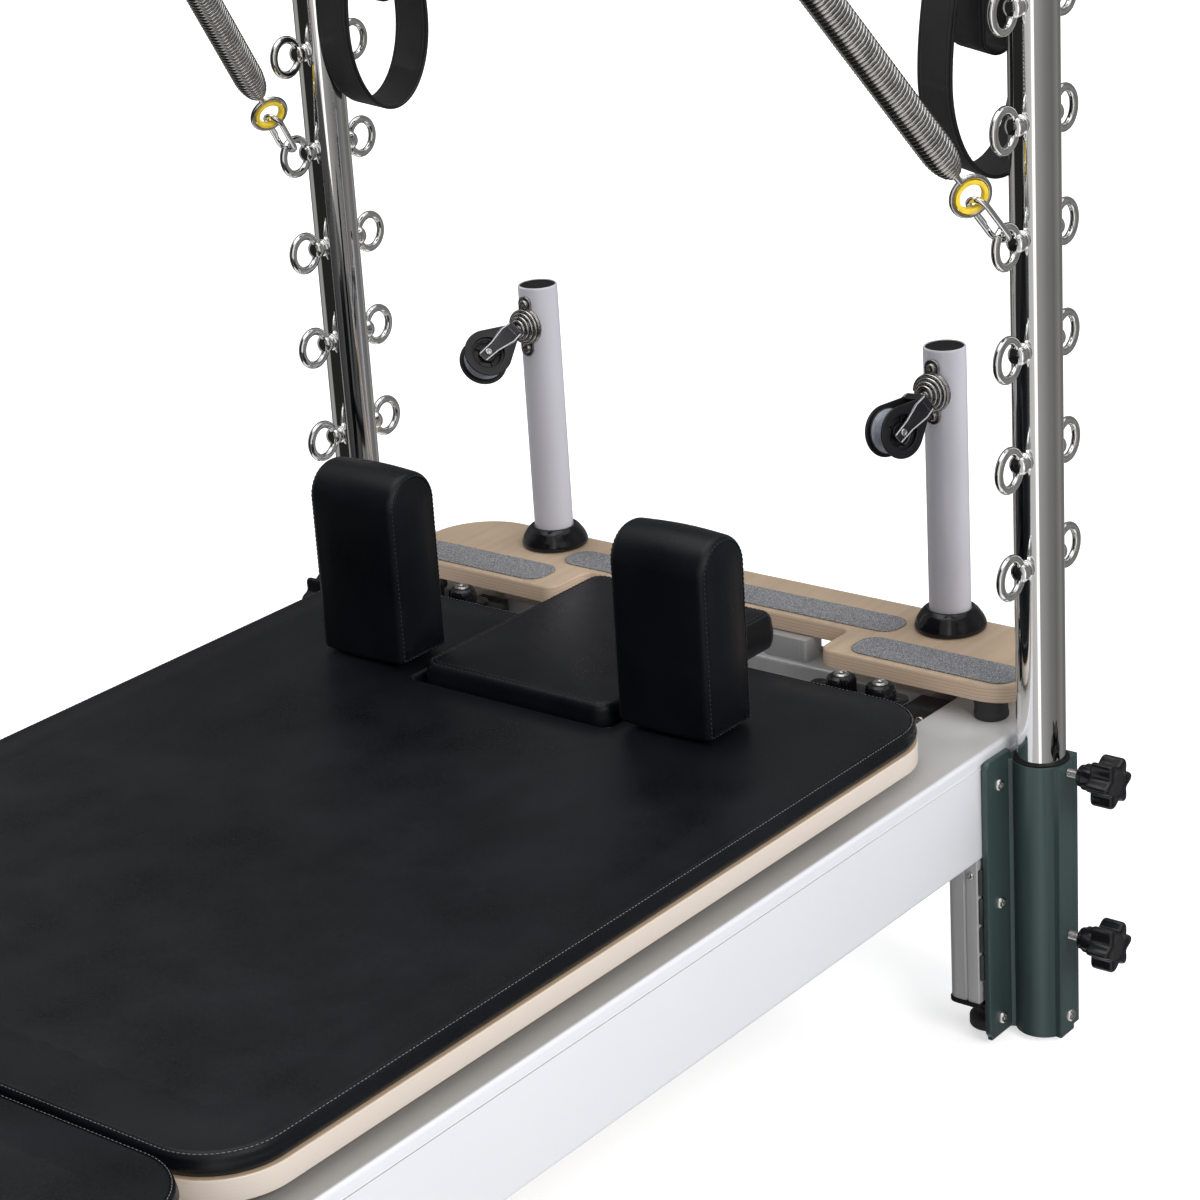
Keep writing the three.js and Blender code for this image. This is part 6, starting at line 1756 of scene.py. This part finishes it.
def strap(name):
    """One strap: the loop and the cuff, both turned, and the hanger, each a sheet of webbing that hangs."""
    s = SIDES[name]
    parts = (("loop", loop_path(), STRAP_Y, WEB, f"strap_{name}"), ("cuff", cuff_path(), STRAP_Y, WEB, None),
             ("hanger", hanger_path(), HANGER["y"], HANGER, None))
    for form, path, y, web, node in parts:
        surface, uv, length = band(path, s * y, web["half"], web["thick"])
        surface = surface if web is HANGER else turned(surface, name)
        sewn = piece(f"strap_{form}_{name}", surface, webbing, f"strap_{name[0]}", node, 60, uv=uv)


# Footbar

FOOTBAR = {"half": 357.0, "z": 240.0, "pivot": -1860.0, "end": -2290.0, "radius": 14.9, "bend": 70}


def footbar():
    """Folded bar at the foot end: a bent tube between two hubs, with a foam sleeve on its middle."""
    f = FOOTBAR
    pivot, end, z = f["pivot"], f["end"], f["z"]
    corners = [(pivot, -f["half"], z), (end, -f["half"], z), (end, f["half"], z), (pivot, f["half"], z)]
    parts = [tube(bent(corners, [f["bend"]] * 2), f["radius"], 48, round_ends=1.0)]
    for s in SIDES.values():
        parts.append(lathe([[0, 338.6], [20.6, 338.6], [21.9, 340.0], [21.9, 369.6], [20.2, 371.6],
                            [11.4, 371.8], [10.6, 370.0], [0, 370.0]], 0.9, (pivot, 0, z), (0, s, 0), 56))
        parts.append(slab(circle(6, 7.0), s * 369.5, s * 371.8, 0.5, "y", (pivot, 0, z), steps=2))
    piece("footbar_tube", join(*parts), steel, "footbar_arm", "footbar", 45)
    foam = lathe([[15.0, -249.5], [17.6, -249.5], [18.9, -247.6], [18.9, 247.6], [17.6, 249.5], [15.0, 249.5],
                  [15.0, -249.5]], 0.8, (end, 0, z), ACROSS, 56)
    piece("footbar_sleeve", foam, rubber, "footbar_arm")


for side_name in SIDES:
    strap(side_name)
footbar()


# Stage: pale floor, soft lamps, and a studio surround that only reflections see

FLOOR = {"half": 14.0, "drop": 0.0005, "lift": 0.56}
SURROUND = {"radius": 2.5, "low": -3.0, "high": 3.4}
AMBIENT = 0.42
# The studio cards' brightness by bearing, in degrees
CARDS = [(0, 0.30), (22, 0.22), (45, 0.10), (70, 0.12), (90, 0.34), (110, 0.34), (115, 0.02), (172, 0.02),
         (176, 0.50), (206, 0.60), (209, 1.6), (217, 1.6), (220, 0.36), (238, 0.30), (262, 0.20), (290, 0.15),
         (318, 0.24), (335, 0.16)]


def stage_mesh(name, points, faces, material):
    """A stage object from points in metres."""
    mesh = bpy.data.meshes.new(name)
    mesh.from_pydata(points.tolist(), [], [tuple(f) for f in faces])
    mesh.materials.append(material)
    return new_object(name, mesh)


def stage_floor():
    """A wide pale floor. The camera adds a plain white to it, so that it is near white with its shadows."""
    p = Paint("pale_floor", (0.72, 0.72, 0.72), 0.75)
    p.tones(p.noise(0.7, detail=2.0), (0.71, 0.71, 0.715), (0.735, 0.735, 0.74))
    glow = p.node("ShaderNodeEmission")
    glow.inputs["Color"].default_value = (1, 1, 1, 1)
    seen = p.node("ShaderNodeLightPath")
    rays = p.math("MAXIMUM", seen.outputs["Is Camera Ray"], seen.outputs["Is Transmission Ray"])
    x, y = p.coordinate("X"), p.coordinate("Y")
    away = p.math("SQRT", p.math("ADD", p.math("MULTIPLY", x, x), p.math("MULTIPLY", y, y)))
    lift = p.between(away, 1.6, 6.0, FLOOR["lift"], 1.1)
    p.link(p.math("MULTIPLY", rays, lift), glow.inputs["Strength"])
    both = p.node("ShaderNodeAddShader")
    p.link(p.shader.outputs[0], both.inputs[0])
    p.link(glow.outputs[0], both.inputs[1])
    p.link(both.outputs[0], p.out.inputs[0])
    size = FLOOR["half"]
    corners = np.array([[-size, -size, 0], [size, -size, 0], [size, size, 0], [-size, size, 0]])
    floor = stage_mesh("floor", corners - [0, 0, FLOOR["drop"]], [(0, 1, 2, 3)], p.material)
    floor.visible_glossy = False


def stage_surround():
    """The dark and light cards that stand round a studio: an upright cylinder round the tower whose glow
    changes with its bearing. Only glossy rays see it."""
    p = Paint("studio_cards", (0, 0, 0), 1.0)
    centre = world([0.0, 0.0, 0.0])
    glow = p.node("ShaderNodeEmission")
    x = p.math("SUBTRACT", p.coordinate("X"), float(centre[0]))
    bearing = p.math("ARCTAN2", p.coordinate("Y"), x)
    share = p.math("FRACT", p.math("ADD", p.math("MULTIPLY", bearing, 1.0 / TURN), 1.0))
    shades = [(degrees / 360.0, (value, value * 0.985, value * 0.96)) for degrees, value in CARDS]
    p.link(p.ramp(share, shades), glow.inputs["Color"])
    glow.inputs["Strength"].default_value = 1.0
    p.link(glow.outputs[0], p.out.inputs[0])
    p.material.cycles.emission_sampling = "NONE"
    around, up = 72, 6
    ring = np.broadcast_to(circle(around, SURROUND["radius"]) + centre[:2], (up, around, 2))
    points = raised(ring, np.linspace(SURROUND["low"], SURROUND["high"], up))
    cards = stage_mesh("surround", points.reshape(-1, 3), grid_faces(up, around, wrap_columns=True).tolist(),
                       p.material)
    for kind in ("camera", "diffuse", "transmission", "volume_scatter", "shadow"):
        setattr(cards, f"visible_{kind}", False)


def lamp(name, place, aim, size, watts, colour=(1, 1, 1)):
    """A soft rectangular lamp that looks at a point: its own z axis points back from the aim."""
    data = bpy.data.lights.new(name, "AREA")
    data.shape = "RECTANGLE"
    data.size, data.size_y = size
    data.energy = watts
    data.color = colour
    thing = new_object(name, data)
    back = unit(np.array(place, float) - np.array(aim, float))
    side = unit(np.cross(UP, back))
    matrix = np.eye(4)
    matrix[:3] = np.stack([side, np.cross(back, side), back, place], 1)
    thing.matrix_world = Matrix(matrix.tolist())


def stage_world():
    """White where the camera looks, a softer white as ambient light."""
    surround = bpy.data.worlds.new("studio")
    bpy.context.scene.world = surround
    surround.use_nodes = True
    tree = surround.node_tree
    tree.nodes.clear()
    shades = []
    for colour, strength in (((0.96, 0.975, 1.0, 1), AMBIENT), ((1, 1, 1, 1), 1.0)):
        shade = tree.nodes.new("ShaderNodeBackground")
        shade.inputs["Color"].default_value = colour
        shade.inputs["Strength"].default_value = strength
        shades.append(shade.outputs[0])
    path = tree.nodes.new("ShaderNodeLightPath")
    seen = path.outputs["Is Camera Ray"]
    for ray in ("Is Glossy Ray", "Is Transmission Ray"):
        either = tree.nodes.new("ShaderNodeMath")
        either.operation = "MAXIMUM"
        tree.links.new(seen, either.inputs[0])
        tree.links.new(path.outputs[ray], either.inputs[1])
        seen = either.outputs[0]
    mix = tree.nodes.new("ShaderNodeMixShader")
    for output, socket in zip((seen, *shades), mix.inputs):
        tree.links.new(output, socket)
    tree.links.new(mix.outputs[0], tree.nodes.new("ShaderNodeOutputWorld").inputs[0])


stage_floor()
stage_surround()
stage_world()
lamp("key", (-0.5, -3.8, 2.7), (1.0, 0.0, 0.7), (2.2, 2.2), 140, (1.0, 0.99, 0.97))
lamp("fill", (3.2, -3.2, 2.2), (1.0, 0.0, 0.6), (2.5, 2.5), 60, (0.95, 0.97, 1.0))
lamp("back", (1.2, 3.9, 2.6), (0.4, 0.0, 0.4), (2.5, 2.5), 75, (0.97, 0.98, 1.0))
lamp("top", (0.6, 0.3, 4.2), (0.6, 0.0, 0.0), (3.0, 3.0), 45)
bpy.context.scene.view_settings.view_transform = "Standard"
